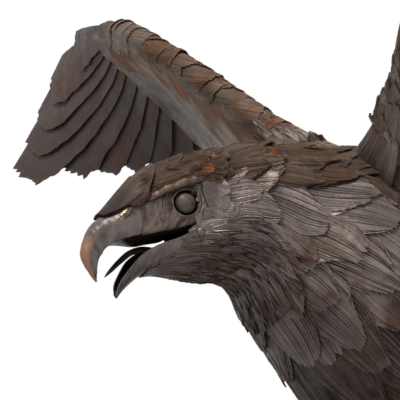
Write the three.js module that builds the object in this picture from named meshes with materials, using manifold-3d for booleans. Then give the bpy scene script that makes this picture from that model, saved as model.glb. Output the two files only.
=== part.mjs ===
// A life-size eagle made of cut and welded steel sheet, with raised wings, standing on a steel branch.
// Millimetres, +Z up. The bird faces -Y and its left side is +X. The origin is the centre of the
// base plate's underside. The bird is drawn in a frame of its own, whose origin lies between its eyes
// and its throat, and is then set on its perch.
import * as THREE from "three";
import { mergeVertices } from "three/addons/utils/BufferGeometryUtils.js";
import Module from "manifold-3d";

const wasm = await Module();
wasm.setup();

// Driving dimensions
const headLength = 125; // beak front to nape
const bodyLength = 400; // nape to tail root
const sheet = 1; // feathers are cut from sheet of this thickness
const shellWall = 2; // the torso under the feathers
const seatGap = 0.4; // between a piece and what it is welded to

// Perch
const plateRadius = 190;
const plateThickness = 12;
const plateChamfer = 3;
const trunkHeight = 190; // base plate to the branch's centre line
const trunkRadius = 40;
const branchRadius = 32;
const branchLength = 330;
const standingHeight = 425; // soles to the bird's own origin
const birdSetback = 190; // the bird's origin lies this far in front of the trunk

// Armature
const spineRadius = 8;
const sparWidth = 16; // where it enters the torso; outside, it widens forward to the leading edge
const sparThickness = 5;
const sparInset = 82; // how far a wing spar runs into the torso
const legRadius = 8;

// Plumage of the body
const feathersPerRow = 11;
const rowReachShare = 1.45; // of the distance between two ribs
const rowRise = 5.5; // how far a row's tips stand off its roots
const rowStep = 2; // height of the step where one feather laps the next

// Wings
const shoulderShares = [-0.175, 0.3275, 0.15]; // of bodyLength, from the bird's own origin
const armLength = 272; // shoulder to wrist along the leading edge
const handLength = 140; // wrist to the outermost quill
const primaryCount = 9;
const primaryLength = 355;
const primaryWidth = 58;
const bladeTilts = [20, 12]; // degrees by which a blade laps its neighbour: first and last
const bladeRidge = 1.2; // fold along the quill
const quillWidth = 2.6;
const secondaryCount = 10;
const secondaryLength = 225;
const secondaryStep = 4;
const covertCount = 8;
const covertStep = 2;
const camberDrop = 31; // how far the wing's chord has curved down at camberChord
const camberChord = 200;
const shoulderLead = 12; // the leading edge stands this far ahead of the shoulder's line
const wristLead = 25; // and this far at the wrist
const quillLine = 15; // the quills are rooted this far behind the shoulder's line
const capHeight = 13; // the scaled cap over the leading edge, above and below the spar
const capReach = 44;
const shoulderSwell = 24; // how much the cap grows towards the torso
const swellLength = 105;
const capScales = 9;
const capStep = 1.5;
const cutClearance = 0.5; // round a bar that passes through sheet
const wingGap = 16; // the first secondary stands this far out from the shoulder

// Tail
const tailFeathers = 12;
const tailLength = 255;
const tailRootWidth = 22;
const tailDroop = 28; // degrees below level
const tailFan = 28; // degrees to each side
const tailStep = 2.5;
const tailArch = 22; // the fan's edges hang this far below its middle

// Head
const eyeRadius = 8.2;
const socketRadius = 12;
const browHeight = 5;
const jawSheet = 2;
const crownRise = 4.2;
const tongueRadius = 3.6;

// Feet
const toeRadius = 8;
const footSpread = 62; // centre of the bird to the centre of a foot
const toeSpread = 26; // degrees between neighbouring front toes
const toeWrap = 84; // degrees of the branch that a toe covers
const talonWrap = 40;
const ankleHeight = 46; // soles to the end of the leg bar
const thighWidth = 68;
const thighDepth = 92;

const degrees = (a) => THREE.MathUtils.degToRad(a);
const vec = (x, y, z) => new THREE.Vector3(x, y, z);
const mix = THREE.MathUtils.lerp;

// Ribs, each [top y, top z, bottom y, bottom z, half width]
const smoothRow = (table, at) => {
  const i = THREE.MathUtils.clamp(Math.floor(at), 0, table.length - 2);
  const t = at - i;
  const row = (n) => table[THREE.MathUtils.clamp(n, 0, table.length - 1)];
  const before = row(i - 1);
  const start = row(i);
  const end = row(i + 1);
  const after = row(i + 2);
  return start.map((_, k) => {
    const p0 = i === 0 ? 2 * start[k] - end[k] : before[k];
    const p3 = i + 2 > table.length - 1 ? 2 * end[k] - start[k] : after[k];
    const p1 = start[k];
    const p2 = end[k];
    return (
      p1 +
      0.5 * t * (p2 - p0 + t * (2 * p0 - 5 * p1 + 4 * p2 - p3 + t * (3 * (p1 - p2) + p3 - p0)))
    );
  });
};

// A point on a body of ribs. turn is 0 on the back and runs once round by the left side; lift is
// the distance outside the skin; belly under 1 squares off the lower half.
const ribPoint = (table, at, turn, lift, belly = 1) => {
  const [topY, topZ, bottomY, bottomZ, halfWidth] = smoothRow(table, at);
  const up = vec(0, topY - bottomY, topZ - bottomZ);
  const halfHeight = up.length() / 2;
  up.normalize();
  const angle = turn * 2 * Math.PI;
  const power = Math.cos(angle) < 0 ? belly : 1;
  const across = Math.sign(Math.sin(angle)) * Math.abs(Math.sin(angle)) ** power;
  const high = Math.sign(Math.cos(angle)) * Math.abs(Math.cos(angle)) ** power;
  const outward = up.clone().multiplyScalar(high / halfHeight);
  outward.x += across / halfWidth;
  outward.normalize();
  return vec(across * halfWidth, (topY + bottomY) / 2, (topZ + bottomZ) / 2)
    .addScaledVector(up, halfHeight * high)
    .addScaledVector(outward, lift);
};

// Closed geometry from vertices and triangles, with its faces turned outward
const solid = (points, triangles) => {
  let volume = 0;
  for (const [a, b, c] of triangles) {
    volume += points[a].dot(points[b].clone().cross(points[c]));
  }
  const faces = volume < 0 ? triangles.map(([a, b, c]) => [a, c, b]) : triangles;
  return new THREE.BufferGeometry()
    .setAttribute(
      "position",
      new THREE.Float32BufferAttribute(points.flatMap((p) => p.toArray()), 3),
    )
    .setIndex(faces.flat());
};

// A sheet of metal with an upper and an under face, over columns and stations. place(column, station,
// face) gives each vertex, where face is 0 below and 1 above. A ring's last column meets its first.
const sheetSolid = (columns, stations, ring, place) => {
  const points = [];
  stations.forEach((s) => columns.forEach((c) => points.push(place(c, s, 0), place(c, s, 1))));
  const id = (i, j, face) => (i * columns.length + (j % columns.length)) * 2 + face;
  const quads = [];
  const last = stations.length - 1;
  const spans = ring ? columns.length : columns.length - 1;
  for (let j = 0; j < spans; j++) {
    for (let i = 0; i < last; i++) {
      quads.push([id(i, j, 1), id(i + 1, j, 1), id(i + 1, j + 1, 1), id(i, j + 1, 1)]);
      quads.push([id(i, j, 0), id(i, j + 1, 0), id(i + 1, j + 1, 0), id(i + 1, j, 0)]);
    }
    quads.push([id(0, j, 1), id(0, j + 1, 1), id(0, j + 1, 0), id(0, j, 0)]);
    quads.push([id(last, j + 1, 1), id(last, j, 1), id(last, j, 0), id(last, j + 1, 0)]);
  }
  if (!ring) {
    const edge = columns.length - 1;
    for (let i = 0; i < last; i++) {
      quads.push([id(i + 1, 0, 1), id(i, 0, 1), id(i, 0, 0), id(i + 1, 0, 0)]);
      quads.push([id(i, edge, 1), id(i + 1, edge, 1), id(i + 1, edge, 0), id(i, edge, 0)]);
    }
  }
  return solid(
    points,
    quads.flatMap(([a, b, c, d]) => [[a, b, c], [a, c, d]]),
  );
};

// A body through rings of points, closed by a fan at each end
const loft = (rings) => {
  const n = rings[0].length;
  const points = rings.flat();
  const centre = (ring) =>
    ring.reduce((sum, p) => sum.add(p), vec(0, 0, 0)).divideScalar(ring.length);
  const first = points.push(centre(rings[0])) - 1;
  const end = points.push(centre(rings.at(-1))) - 1;
  const faces = [];
  for (let j = 0; j < n; j++) {
    const k = (j + 1) % n;
    for (let i = 0; i < rings.length - 1; i++) {
      const at = i * n;
      faces.push([at + j, at + k, at + n + k], [at + j, at + n + k, at + n + j]);
    }
    const at = (rings.length - 1) * n;
    faces.push([first, k, j], [end, at + j, at + k]);
  }
  return solid(points, faces);
};

// A round bar of changing radius along a smooth curve
const taperedBar = (path, radii, sides, steps) => {
  const curve = new THREE.CatmullRomCurve3(path);
  const frames = curve.computeFrenetFrames(steps, false);
  const rings = [];
  for (let i = 0; i <= steps; i++) {
    const t = i / steps;
    const at = t * (radii.length - 1);
    const k = Math.min(Math.floor(at), radii.length - 2);
    const radius = mix(radii[k], radii[k + 1], at - k);
    const centre = curve.getPointAt(t);
    rings.push(
      Array.from({ length: sides }, (_, j) => {
        const a = (j / sides) * 2 * Math.PI;
        return centre
          .clone()
          .addScaledVector(frames.normals[i], radius * Math.cos(a))
          .addScaledVector(frames.binormals[i], radius * Math.sin(a));
      }),
    );
  }
  return loft(rings);
};

// Booleans
const toSolid = (geometry) => {
  const bare = geometry.clone();
  bare.deleteAttribute("normal");
  bare.deleteAttribute("uv");
  const merged = mergeVertices(bare, sheet / 1000);
  return new wasm.Manifold(
    new wasm.Mesh({
      numProp: 3,
      vertProperties: new Float32Array(merged.attributes.position.array),
      triVerts: new Uint32Array(merged.index.array),
    }),
  );
};
const toGeometry = (made) => {
  const mesh = made.getMesh();
  return new THREE.BufferGeometry()
    .setAttribute("position", new THREE.BufferAttribute(new Float32Array(mesh.vertProperties), 3))
    .setIndex(Array.from(mesh.triVerts));
};
const cut = (geometry, ...cutters) =>
  toGeometry(cutters.reduce((left, c) => left.subtract(toSolid(c)), toSolid(geometry)));
const join = (...geometries) =>
  toGeometry(geometries.map(toSolid).reduce((sum, next) => sum.add(next)));
const mirrored = (geometry) => {
  const flat = geometry.index ? geometry.toNonIndexed() : geometry.clone();
  const p = flat.attributes.position;
  const points = [];
  for (let i = 0; i < p.count; i++) points.push(vec(-p.getX(i), p.getY(i), p.getZ(i)));
  const faces = [];
  for (let i = 0; i < p.count; i += 3) faces.push([i, i + 1, i + 2]);
  return solid(points, faces);
};

// A row of lapped feathers: three columns a feather, high at its leading edge, with a lobed tip
const stepShare = 0.1; // of a feather's width, taken by the step down to the next feather
const lobeShares = [0.84, 1, 0.86]; // length of each column
const featherColumns = (count, leadHigh) => {
  const columns = [];
  for (let n = 0; n < count; n++) {
    const across = [0, 0.5, 1 - stepShare];
    across.forEach((a, k) => {
      const lift = leadHigh ? 1 - k / 2 : k / 2;
      columns.push({ across: n + a, lift, reach: lobeShares[k] });
    });
  }
  return columns;
};

const bird = new THREE.Group();
bird.position.set(
  0,
  -birdSetback,
  plateThickness + trunkHeight + branchRadius + standingHeight,
);
const perch = new THREE.Group();
const eagle = new THREE.Group();
eagle.add(bird, perch);
const finishes = {
  plumage: new THREE.MeshStandardMaterial({ color: 0x4a413c, roughness: 0.55, metalness: 0.8 }),
  face: new THREE.MeshStandardMaterial({ color: 0x57504a, roughness: 0.5, metalness: 0.85 }),
  beak: new THREE.MeshStandardMaterial({ color: 0x5b4338, roughness: 0.4, metalness: 0.85 }),
  armature: new THREE.MeshStandardMaterial({ color: 0x3a3532, roughness: 0.6, metalness: 0.8 }),
  perch: new THREE.MeshStandardMaterial({ color: 0x40372f, roughness: 0.65, metalness: 0.7 }),
};
const add = (group, name, geometry, finish) => {
  const mesh = new THREE.Mesh(geometry, finishes[finish]);
  mesh.name = name;
  group.add(mesh);
};

// Ribs of the torso: the first is at the back of the head and follows its size
const neckRibShares = [-0.032, 0.25, 0, -0.424, 0.252];
const bodyRibShares = [
  [0.078, 0.106, 0.043, -0.13, 0.095],
  [0.146, 0.109, 0.087, -0.153, 0.113],
  [0.232, 0.112, 0.118, -0.21, 0.14],
  [0.333, 0.109, 0.166, -0.268, 0.175],
  [0.437, 0.069, 0.235, -0.348, 0.205],
  [0.554, 0.004, 0.331, -0.433, 0.223],
  [0.704, -0.106, 0.504, -0.524, 0.215],
  [0.848, -0.236, 0.695, -0.569, 0.17],
  [0.965, -0.364, 0.88, -0.568, 0.11],
  [1.045, -0.438, 1.01, -0.562, 0.075],
];
const neckRib = neckRibShares.map((share) => share * headLength);
const bodyRibs = [
  neckRib,
  ...bodyRibShares.map((rib) => rib.map((share) => share * bodyLength)),
];
const bodyPoint = (at, turn, lift) => ribPoint(bodyRibs, at, turn, lift);
const lastRib = bodyRibs.length - 1;

// Wing: a spine from the shoulder outward, and at each point of it a chord and an upward normal
const shoulder = vec(...shoulderShares.map((share) => share * bodyLength));
const sweepForward = 16; // degrees
const sweepBack = 42;
const armRise = 33.5;
const handDroop = 13.3;
const twistDegrees = [60, 36, 90]; // pitch of the chord at the shoulder, past the wrist and near the tip
const twistShares = [0, 1.1, 2.38]; // where, as shares of the arm's length
const bendStartShare = 0.37; // of the arm's length, and so is the next
const bendLengthShare = 2.2;
const bendMost = 1.3;
const wingSteps = 160;
const wingReach = 3 * armLength;
const wingFrames = (() => {
  const frames = [];
  const centre = shoulder.clone();
  let before = null;
  for (let i = 0; i <= wingSteps; i++) {
    const share = (i / wingSteps) * (wingReach / armLength);
    const bend = THREE.MathUtils.clamp((share - bendStartShare) / bendLengthShare, 0, bendMost);
    const rise = degrees(armRise - handDroop * bend);
    const sweep = degrees(sweepForward - sweepBack * bend);
    const along = vec(
      -Math.cos(rise) * Math.cos(sweep),
      -Math.cos(rise) * Math.sin(sweep),
      Math.sin(rise),
    );
    if (before) {
      centre.addScaledVector(before.add(along), wingReach / wingSteps / 2);
    }
    before = along.clone();
    const back = vec(0, 1, 0).addScaledVector(along, -along.y).normalize();
    const up = back.clone().cross(along);
    if (up.z < 0) up.negate();
    const k = share < twistShares[1] ? 0 : 1;
    const part = (share - twistShares[k]) / (twistShares[k + 1] - twistShares[k]);
    const pitch = degrees(mix(twistDegrees[k], twistDegrees[k + 1], Math.min(part, 1)));
    frames.push({
      centre: centre.clone(),
      along,
      chord: back.clone().multiplyScalar(Math.cos(pitch)).addScaledVector(up, -Math.sin(pitch)),
      normal: up.clone().multiplyScalar(Math.cos(pitch)).addScaledVector(back, Math.sin(pitch)),
    });
  }
  return frames;
})();
// out runs along the wing from the shoulder, back runs to the trailing edge, and lift is towards
// the wing's upper side
const wingPoint = (out, back, lift) => {
  const at = THREE.MathUtils.clamp(out / wingReach, 0, 0.999) * wingSteps;
  const i = Math.floor(at);
  const a = wingFrames[i];
  const b = wingFrames[i + 1];
  const blend = (key) => a[key].clone().lerp(b[key], at - i);
  const drop = camberDrop * (Math.max(back, 0) / camberChord) ** 2;
  return blend("centre")
    .addScaledVector(a.along, Math.min(out, 0))
    .addScaledVector(blend("chord"), back)
    .addScaledVector(blend("normal"), lift - drop);
};
const leadingEdge = (out) => {
  const arm = THREE.MathUtils.clamp(out / armLength, 0, 1);
  const hand = THREE.MathUtils.clamp((out - armLength) / handLength, 0, 1);
  const lead = mix(shoulderLead, wristLead, Math.sin((Math.PI / 2) * arm));
  return mix(-lead, quillLine, hand ** 1.3);
};

// The spar is a flat bar under the quills that widens forward to the leading edge
const sparBackShare = 0.15; // of its width inside the torso, behind the quill line
const sparEdge = (out, side) => {
  if (side > 0) return quillLine + sparBackShare * sparWidth;
  const hand = THREE.MathUtils.clamp((out - armLength) / handLength, 0, 1);
  const front = quillLine + mix(sparBackShare - 1, -0.3, hand) * sparWidth;
  return out < 0 ? front : Math.min(leadingEdge(out) + sparWidth / 2, front);
};
const capStart = -0.5 * sparInset; // inside the torso's feathers, where it is trimmed to them
const capEnd = armLength + 0.8 * handLength;
const capColumns = [];
for (let n = 0; n < capScales; n++) {
  capColumns.push({ out: mix(capStart, capEnd, n / capScales), lift: 1 });
  capColumns.push({ out: mix(capStart, capEnd, (n + 0.88) / capScales), lift: 0 });
}
const sparStops = [
  -sparInset,
  ...capColumns.map((column) => column.out),
  armLength + 0.9 * handLength,
  armLength + handLength,
];
const sparBar = (grow) =>
  sheetSolid([-1, 1], sparStops, false, (side, out, face) =>
    wingPoint(
      out,
      sparEdge(out, side) + side * grow,
      (face * 2 - 1) * (sparThickness / 2 + grow),
    ),
  );
const seat = sparThickness / 2 + seatGap;

// Flight feathers: each is rooted on the spar, and its tip lies at its length and angle from the
// quill line
const fanLead = 11; // degrees from the wing's own line: outermost primary
const fanWrist = 47; // outermost secondary
const fanBody = 92; // innermost secondary
const primaryLengthShares = [0.47, 0.76, 0.87, 0.96, 1.03, 0.87, 0.78, 0.7, 0.62, 0.56];
const lastFeather = primaryCount + secondaryCount;
const flight = (feather) => {
  let out;
  let angle;
  let length;
  if (feather <= primaryCount) {
    const share = feather / primaryCount;
    const k = Math.min(Math.floor(feather), primaryCount - 1);
    out = armLength + (handLength - sparWidth / 4) * (1 - share);
    angle = degrees(fanLead + (fanWrist - fanLead) * share ** 0.75);
    length = primaryLength * mix(primaryLengthShares[k], primaryLengthShares[k + 1], feather - k);
  } else {
    const share = (feather - primaryCount) / secondaryCount;
    const wrist = primaryLength * primaryLengthShares[primaryCount];
    out = mix(armLength, wingGap, share);
    angle = degrees(fanWrist + (fanBody - fanWrist) * share ** 0.8);
    length = mix(wrist, secondaryLength, Math.min(share * 1.5, 1));
  }
  return { out, angle, length };
};
const onFeather = (feather, along, across, lift) => {
  const { out, angle, length } = flight(feather);
  return wingPoint(
    out + along * length * Math.cos(angle) - across * Math.sin(angle),
    quillLine + along * length * Math.sin(angle) + across * Math.cos(angle),
    lift,
  );
};

const bladeStationShares = [0, 0.15, 0.33, 0.6, 0.85, 1];
const bladeWidthShares = [0, 0.06, 0.42, 0.76, 1, 0.86];
const innerRootShare = 0.55; // the innermost blades are this wide at their roots
const bladeColumns = [
  { side: -0.36, reach: 0.97 },
  { side: 0, reach: 1 },
  { side: 0.64, reach: 0.87 },
];
const primary = (feather) =>
  sheetSolid(bladeColumns, bladeStationShares.map((_, i) => i), false, (column, i, face) => {
    const trailing = i < 2 && column.side > 0;
    const root = trailing ? (innerRootShare * feather) / primaryCount : 0;
    const width = mix(quillWidth, primaryWidth, Math.max(bladeWidthShares[i], root));
    const across = column.side * width;
    const fold = column.side === 0 ? bladeRidge * bladeWidthShares[i] : 0;
    const tilt = degrees(mix(...bladeTilts, feather / primaryCount));
    const lift = seat + quillWidth / 4 - Math.tan(tilt) * across + fold;
    const along = bladeStationShares[i] * (i > 2 ? column.reach : 1);
    return onFeather(feather, along, across, lift + face * sheet);
  });

// Rows of feathers that are welded along the wing as one band, from feather first to feather last
const bandStations = [0, 0.6, 1];
const longStations = [0, 0.3, 0.65, 1];
const quillTop = seat + quillWidth / 4 + sheet; // upper face of a quill on the spar
const wingBand = ({ count, first, stations, reach, lift, rise, step }) =>
  sheetSolid(featherColumns(count, true), stations, false, (column, s, face) => {
    const share = column.across / count;
    const feather = mix(first, lastFeather, share);
    const along = (reach(share) * s * (s === 1 ? column.reach : 1)) / flight(feather).length;
    const lap = step < 0 ? step * (1 - column.lift) : step * column.lift;
    return onFeather(feather, along, 0, lift + (rise + lap) * s + face * sheet);
  });
const secondaryWrist = primaryLength * 0.6;
const wing = {
  spar: sparBar(0),
  secondaries: wingBand({
    count: secondaryCount,
    first: primaryCount,
    stations: longStations,
    reach: (share) => mix(secondaryWrist, secondaryLength, Math.min(share * 1.5, 1)),
    lift: seat,
    rise: 0,
    step: secondaryStep,
  }),
  under_coverts: wingBand({
    count: covertCount,
    first: 1,
    stations: bandStations,
    reach: (share) => mix(primaryLength * 0.27, secondaryLength * 0.66, share),
    lift: -seat - sheet,
    rise: -5,
    step: -covertStep,
  }),
  upper_coverts: wingBand({
    count: covertCount,
    first: 1,
    stations: bandStations,
    reach: (share) => mix(primaryLength * 0.3, secondaryLength * 0.7, share),
    lift: quillTop + seatGap,
    rise: 9,
    step: covertStep,
  }),
};

// A cap of lapped scales over the leading edge, seated on the spar's front corners
const capTurns = [-90, -52, -18, 18, 52, 90].map(degrees);
const capInner = capHeight - sheet;
const capNose = seatGap + capReach - (capReach - sheet) * Math.cos(capTurns[3]);
wing.leading_edge = sheetSolid(capColumns, capTurns, false, ({ out, lift }, turn, face) => {
  const swell = shoulderSwell * Math.max(1 - (out - capStart) / swellLength, 0) ** 2;
  const grow = capStep * lift + face * sheet + swell;
  const centre = sparEdge(out, -1) - capNose + capReach;
  return wingPoint(
    out,
    centre - (capReach - sheet + grow) * Math.cos(turn),
    (capInner + grow) * Math.sin(turn),
  );
});

// Spine, from the skull to the tail, and the tail that rests on its end
const spineShares = [
  [0, 0],
  [0.04, 0],
  [0.16, 0.025],
  [0.375, 0.0375],
  [0.6, -0.13],
  [0.82, -0.34],
  [0.95, -0.459],
  [1.04, -0.507],
];
const spinePath = spineShares.map(([y, z]) => vec(0, y * bodyLength, z * bodyLength));
const neckSlope = (neckRib[2] - neckRib[0]) / (neckRib[1] - neckRib[3]);
spinePath[0].y = neckRib[0] + neckSlope * (neckRib[1] + spineRadius);
const spine = (grow) =>
  taperedBar(spinePath, [spineRadius + grow, spineRadius + grow], 8, 10);
const tailPoint = (side, along, lift) => {
  const fan = degrees(tailFan * side);
  const droop = degrees(tailDroop);
  const reach = along * tailLength;
  const level = reach * Math.cos(fan);
  const height = lift - tailArch * side * side * along;
  const root = spinePath.at(-2).clone().lerp(spinePath.at(-1), 0.4);
  return vec(
    (side * tailRootWidth) / 2 + reach * Math.sin(fan),
    root.y + level * Math.cos(droop) + height * Math.sin(droop),
    root.z - level * Math.sin(droop) + height * Math.cos(droop),
  );
};
const tail = sheetSolid(
  [
    ...featherColumns(tailFeathers / 2, true),
    ...featherColumns(tailFeathers / 2, false).map((c) => ({
      ...c,
      across: c.across + tailFeathers / 2,
    })),
  ],
  bandStations,
  false,
  (column, s, face) => {
    const side = (column.across / (tailFeathers - stepShare)) * 2 - 1;
    const along = s * (s === 1 ? 1 - (1 - column.reach) * 0.4 : 1);
    return tailPoint(side, along, spineRadius + seatGap * 2 + tailStep * column.lift * s + face * sheet);
  },
);

// Legs
const legPath = [
  vec(spineRadius / 2, 0.6 * bodyLength, -0.13 * bodyLength),
  vec(0.09 * bodyLength, 0.6 * bodyLength, -0.24 * bodyLength),
  vec(0.15 * bodyLength, 0.56 * bodyLength, -0.5 * bodyLength),
  vec(footSpread, birdSetback, -standingHeight + ankleHeight * 2.4),
  vec(footSpread, birdSetback, -standingHeight + ankleHeight),
];
const legBar = (grow) => taperedBar(legPath, [legRadius + grow, legRadius + grow], 8, 10);
const leg = cut(legBar(0), spine(seatGap));

const torsoTurns = Array.from({ length: feathersPerRow * 2 }, (_, i) => i / feathersPerRow / 2);
const seamRib = 5; // the breast's shell and the body's shell meet here
const seamGapShare = (seatGap / bodyLength) * 9;
const shell = (stops) =>
  sheetSolid(torsoTurns, stops, true, (turn, at, face) =>
    bodyPoint(at, turn, (face - 1) * shellWall),
  );
const ribStops = bodyRibs.map((_, i) => i);
const breast = shell([...ribStops.slice(0, seamRib), seamRib - seamGapShare]);
const torso = shell(ribStops.slice(seamRib));
const passages = [sparBar(cutClearance), legBar(cutClearance)].flatMap((g) => [g, mirrored(g)]);
const row = (k) =>
  sheetSolid(
    featherColumns(feathersPerRow, true),
    [0, 1, rowReachShare],
    true,
    (column, s, face) => {
      const along = s === rowReachShare ? 1 + (rowReachShare - 1) * (column.reach * 2 - 1) : s;
      const share = s / rowReachShare;
      return bodyPoint(
        k + along,
        (column.across + (k % 2) / 2) / feathersPerRow,
        seatGap + (rowRise + rowStep * column.lift) * share + face * sheet,
      );
    },
  );

const featherDepth = rowRise + rowStep + sheet + seatGap * 6; // that the rows stand off the torso
const envelope = loft(
  bodyRibs.map((_, at) => torsoTurns.map((turn) => bodyPoint(at, turn, featherDepth))),
);
wing.leading_edge = cut(wing.leading_edge, envelope);
const thighStops = [0, 0.35, 0.75, 1];
const thigh = (() => {
  const curve = new THREE.CatmullRomCurve3(legPath);
  const ring = sheetSolid(featherColumns(6, true), thighStops, true, (column, s, face) => {
    const centre = curve.getPoint(mix(0.42, 1, s));
    const angle = (column.across / 6) * 2 * Math.PI;
    const full = [1, 0.86, 0.34, 0][thighStops.indexOf(s)];
    const inner = legRadius + seatGap;
    const lift = face * sheet + rowStep * column.lift * (1 - s);
    centre.x += Math.cos(angle) * (mix(inner, thighWidth / 2, full) + lift);
    centre.y += Math.sin(angle) * (mix(inner, thighDepth / 2, full) + lift);
    return centre;
  });
  return cut(ring, envelope);
})();

// Feet that grip the branch
const toePath = (heading, wrap, radii) => {
  const steps = radii.length - 1;
  const side = Math.sin(degrees(heading));
  const ahead = Math.cos(degrees(heading));
  return radii.map((radius, i) => {
    const share = i / steps;
    const angle = degrees(wrap * share * Math.abs(ahead)) * Math.sign(ahead);
    const far = branchRadius + seatGap + radius;
    return vec(
      footSpread + side * far * degrees(wrap * share),
      birdSetback - far * Math.sin(angle),
      -standingHeight - branchRadius + far * Math.cos(angle),
    );
  });
};
const toeShares = [1.05, 0.95, 0.98, 0.84, 0.88, 0.74, 0.62, 0.4, 0.09];
const toe = (heading) => {
  const radii = toeShares.map((share) => share * toeRadius);
  return taperedBar(toePath(heading, toeWrap + talonWrap, radii), radii, 5, 9);
};
const ankle = taperedBar(
  [
    vec(footSpread, birdSetback, -standingHeight + toeRadius),
    vec(footSpread, birdSetback, -standingHeight + ankleHeight - seatGap),
  ],
  [toeRadius * 1.6, legRadius * 1.15],
  8,
  2,
);
const foot = join(ankle, toe(-toeSpread), toe(0), toe(toeSpread), toe(180));

// Head: ribs from the hook's tip to the back of the skull
const onNeck = (share) => [
  mix(neckRib[0], neckRib[2], share) - seatGap,
  mix(neckRib[1], neckRib[3], share),
];
const faceRibShares = [
  [-0.672, -0.552, -0.66, -0.544, 0.012],
  [-0.728, -0.48, -0.664, -0.496, 0.034],
  [-0.77, -0.392, -0.66, -0.436, 0.05],
  [-0.75, -0.29, -0.63, -0.38, 0.07],
  [-0.708, -0.21, -0.592, -0.344, 0.094],
  [-0.624, -0.128, -0.528, -0.32, 0.131],
  [-0.496, 0.024, -0.432, -0.3, 0.168],
  [-0.4, 0.104, -0.344, -0.28, 0.196],
  [-0.304, 0.16, -0.264, -0.264, 0.216],
  [-0.192, 0.208, -0.152, -0.236, 0.248],
];
const faceRibs = [
  ...faceRibShares.map((rib) => rib.map((share) => share * headLength)),
  [...onNeck(-0.02), ...onNeck(0.68), neckRib[4] * 1.05],
];
const squareBelly = 0.45;
const beakRoot = 6; // the rib where the beak is welded to the skull
const facePoint = (at, turn, lift) => ribPoint(faceRibs, at, turn, lift, squareBelly);
const socket = vec(0.232 * headLength, -0.2 * headLength, -0.08 * headLength);
const ball = (radius, centre, wide, high) =>
  new THREE.SphereGeometry(radius, wide, high).translate(centre.x, centre.y, centre.z);
const skullSides = 16;
const skullTurns = Array.from({ length: skullSides }, (_, i) => i / skullSides);
const beakGapShare = (seatGap / headLength) * 8;
const skullStops = [beakRoot, 6.6, 7.3, 8, 8.7, 9.4, 10];
const skullForm = loft(skullStops.map((at) => skullTurns.map((turn) => facePoint(at, turn, 0))));
const sockets = ball(socketRadius, socket, 12, 8);
const skull = cut(skullForm, sockets, mirrored(sockets));
const eyeCentre = socket.clone();
eyeCentre.x += eyeRadius + seatGap - socketRadius;
const eye = ball(eyeRadius, eyeCentre, 10, 7);

// The beak's two halves are troughs of sheet whose wall thins towards the tip
const wallAt = (table, at) => Math.min(jawSheet, smoothRow(table, at)[4] * 0.35);
const beakEdgeShares = [0.44, 0.42, 0.4, 0.39, 0.38, 0.375, 0.375];
const beakTurnShares = [-1, -0.8, -0.5, -0.22, 0, 0.22, 0.5, 0.8, 1];
const beakStops = [0, 0.7, 1.5, 2.4, 3.3, 4.2, 5.1, beakRoot - beakGapShare];
const upperBeak = sheetSolid(beakTurnShares, beakStops, false, (across, at, face) => {
  const edge = mix(beakEdgeShares[Math.floor(at)], beakEdgeShares[Math.ceil(at)], at % 1);
  return facePoint(at, across * edge, (face - 1) * wallAt(faceRibs, at));
});
const jawRibShares = [
  [-0.112, -0.224, -0.096, -0.476, 0.228],
  [-0.224, -0.28, -0.208, -0.476, 0.192],
  [-0.344, -0.328, -0.32, -0.476, 0.158],
  [-0.432, -0.392, -0.392, -0.492, 0.122],
  [-0.496, -0.48, -0.456, -0.544, 0.084],
  [-0.536, -0.552, -0.504, -0.592, 0.054],
  [-0.548, -0.616, -0.536, -0.636, 0.02],
];
const jawRibs = [
  [...onNeck(0.7), ...onNeck(1.03), neckRib[4] * 0.98],
  ...jawRibShares.map((rib) => rib.map((share) => share * headLength)),
];
const jawPoint = (at, across, lift) => {
  const [rimY, rimZ, bottomY, bottomZ, halfWidth] = smoothRow(jawRibs, at);
  const down = vec(0, bottomY - rimY, bottomZ - rimZ);
  const depth = down.length();
  down.normalize();
  const angle = (across * Math.PI) / 2;
  const outward = down.clone().multiplyScalar(Math.cos(angle) / depth);
  outward.x += Math.sin(angle) / halfWidth;
  outward.normalize();
  return vec(Math.sin(angle) * halfWidth, rimY, rimZ)
    .addScaledVector(down, depth * Math.cos(angle))
    .addScaledVector(outward, lift);
};
const lowerBeak = sheetSolid(
  beakTurnShares,
  [0, 1, 2, 3, 3.7, 4.4, 5.1, 5.8, 6.5, 7],
  false,
  (across, at, face) => jawPoint(at, across, (face - 1) * wallAt(jawRibs, at)),
);
const tongueShares = [
  [-0.16, 0],
  [-0.26, -0.385],
  [-0.37, -0.336],
  [-0.46, -0.356],
  [-0.53, -0.42],
  [-0.585, -0.48],
  [-0.612, -0.515],
];
const tonguePath = tongueShares.map(([y, z]) => vec(0, y * headLength, z * headLength));
tonguePath[0] = jawPoint(1, 0, -jawSheet - seatGap - tongueRadius * 1.15);
const tongue = taperedBar(
  tonguePath,
  [1.1, 1.15, 1.1, 1, 0.85, 0.6, 0.15].map((share) => share * tongueRadius),
  6,
  9,
);

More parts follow.
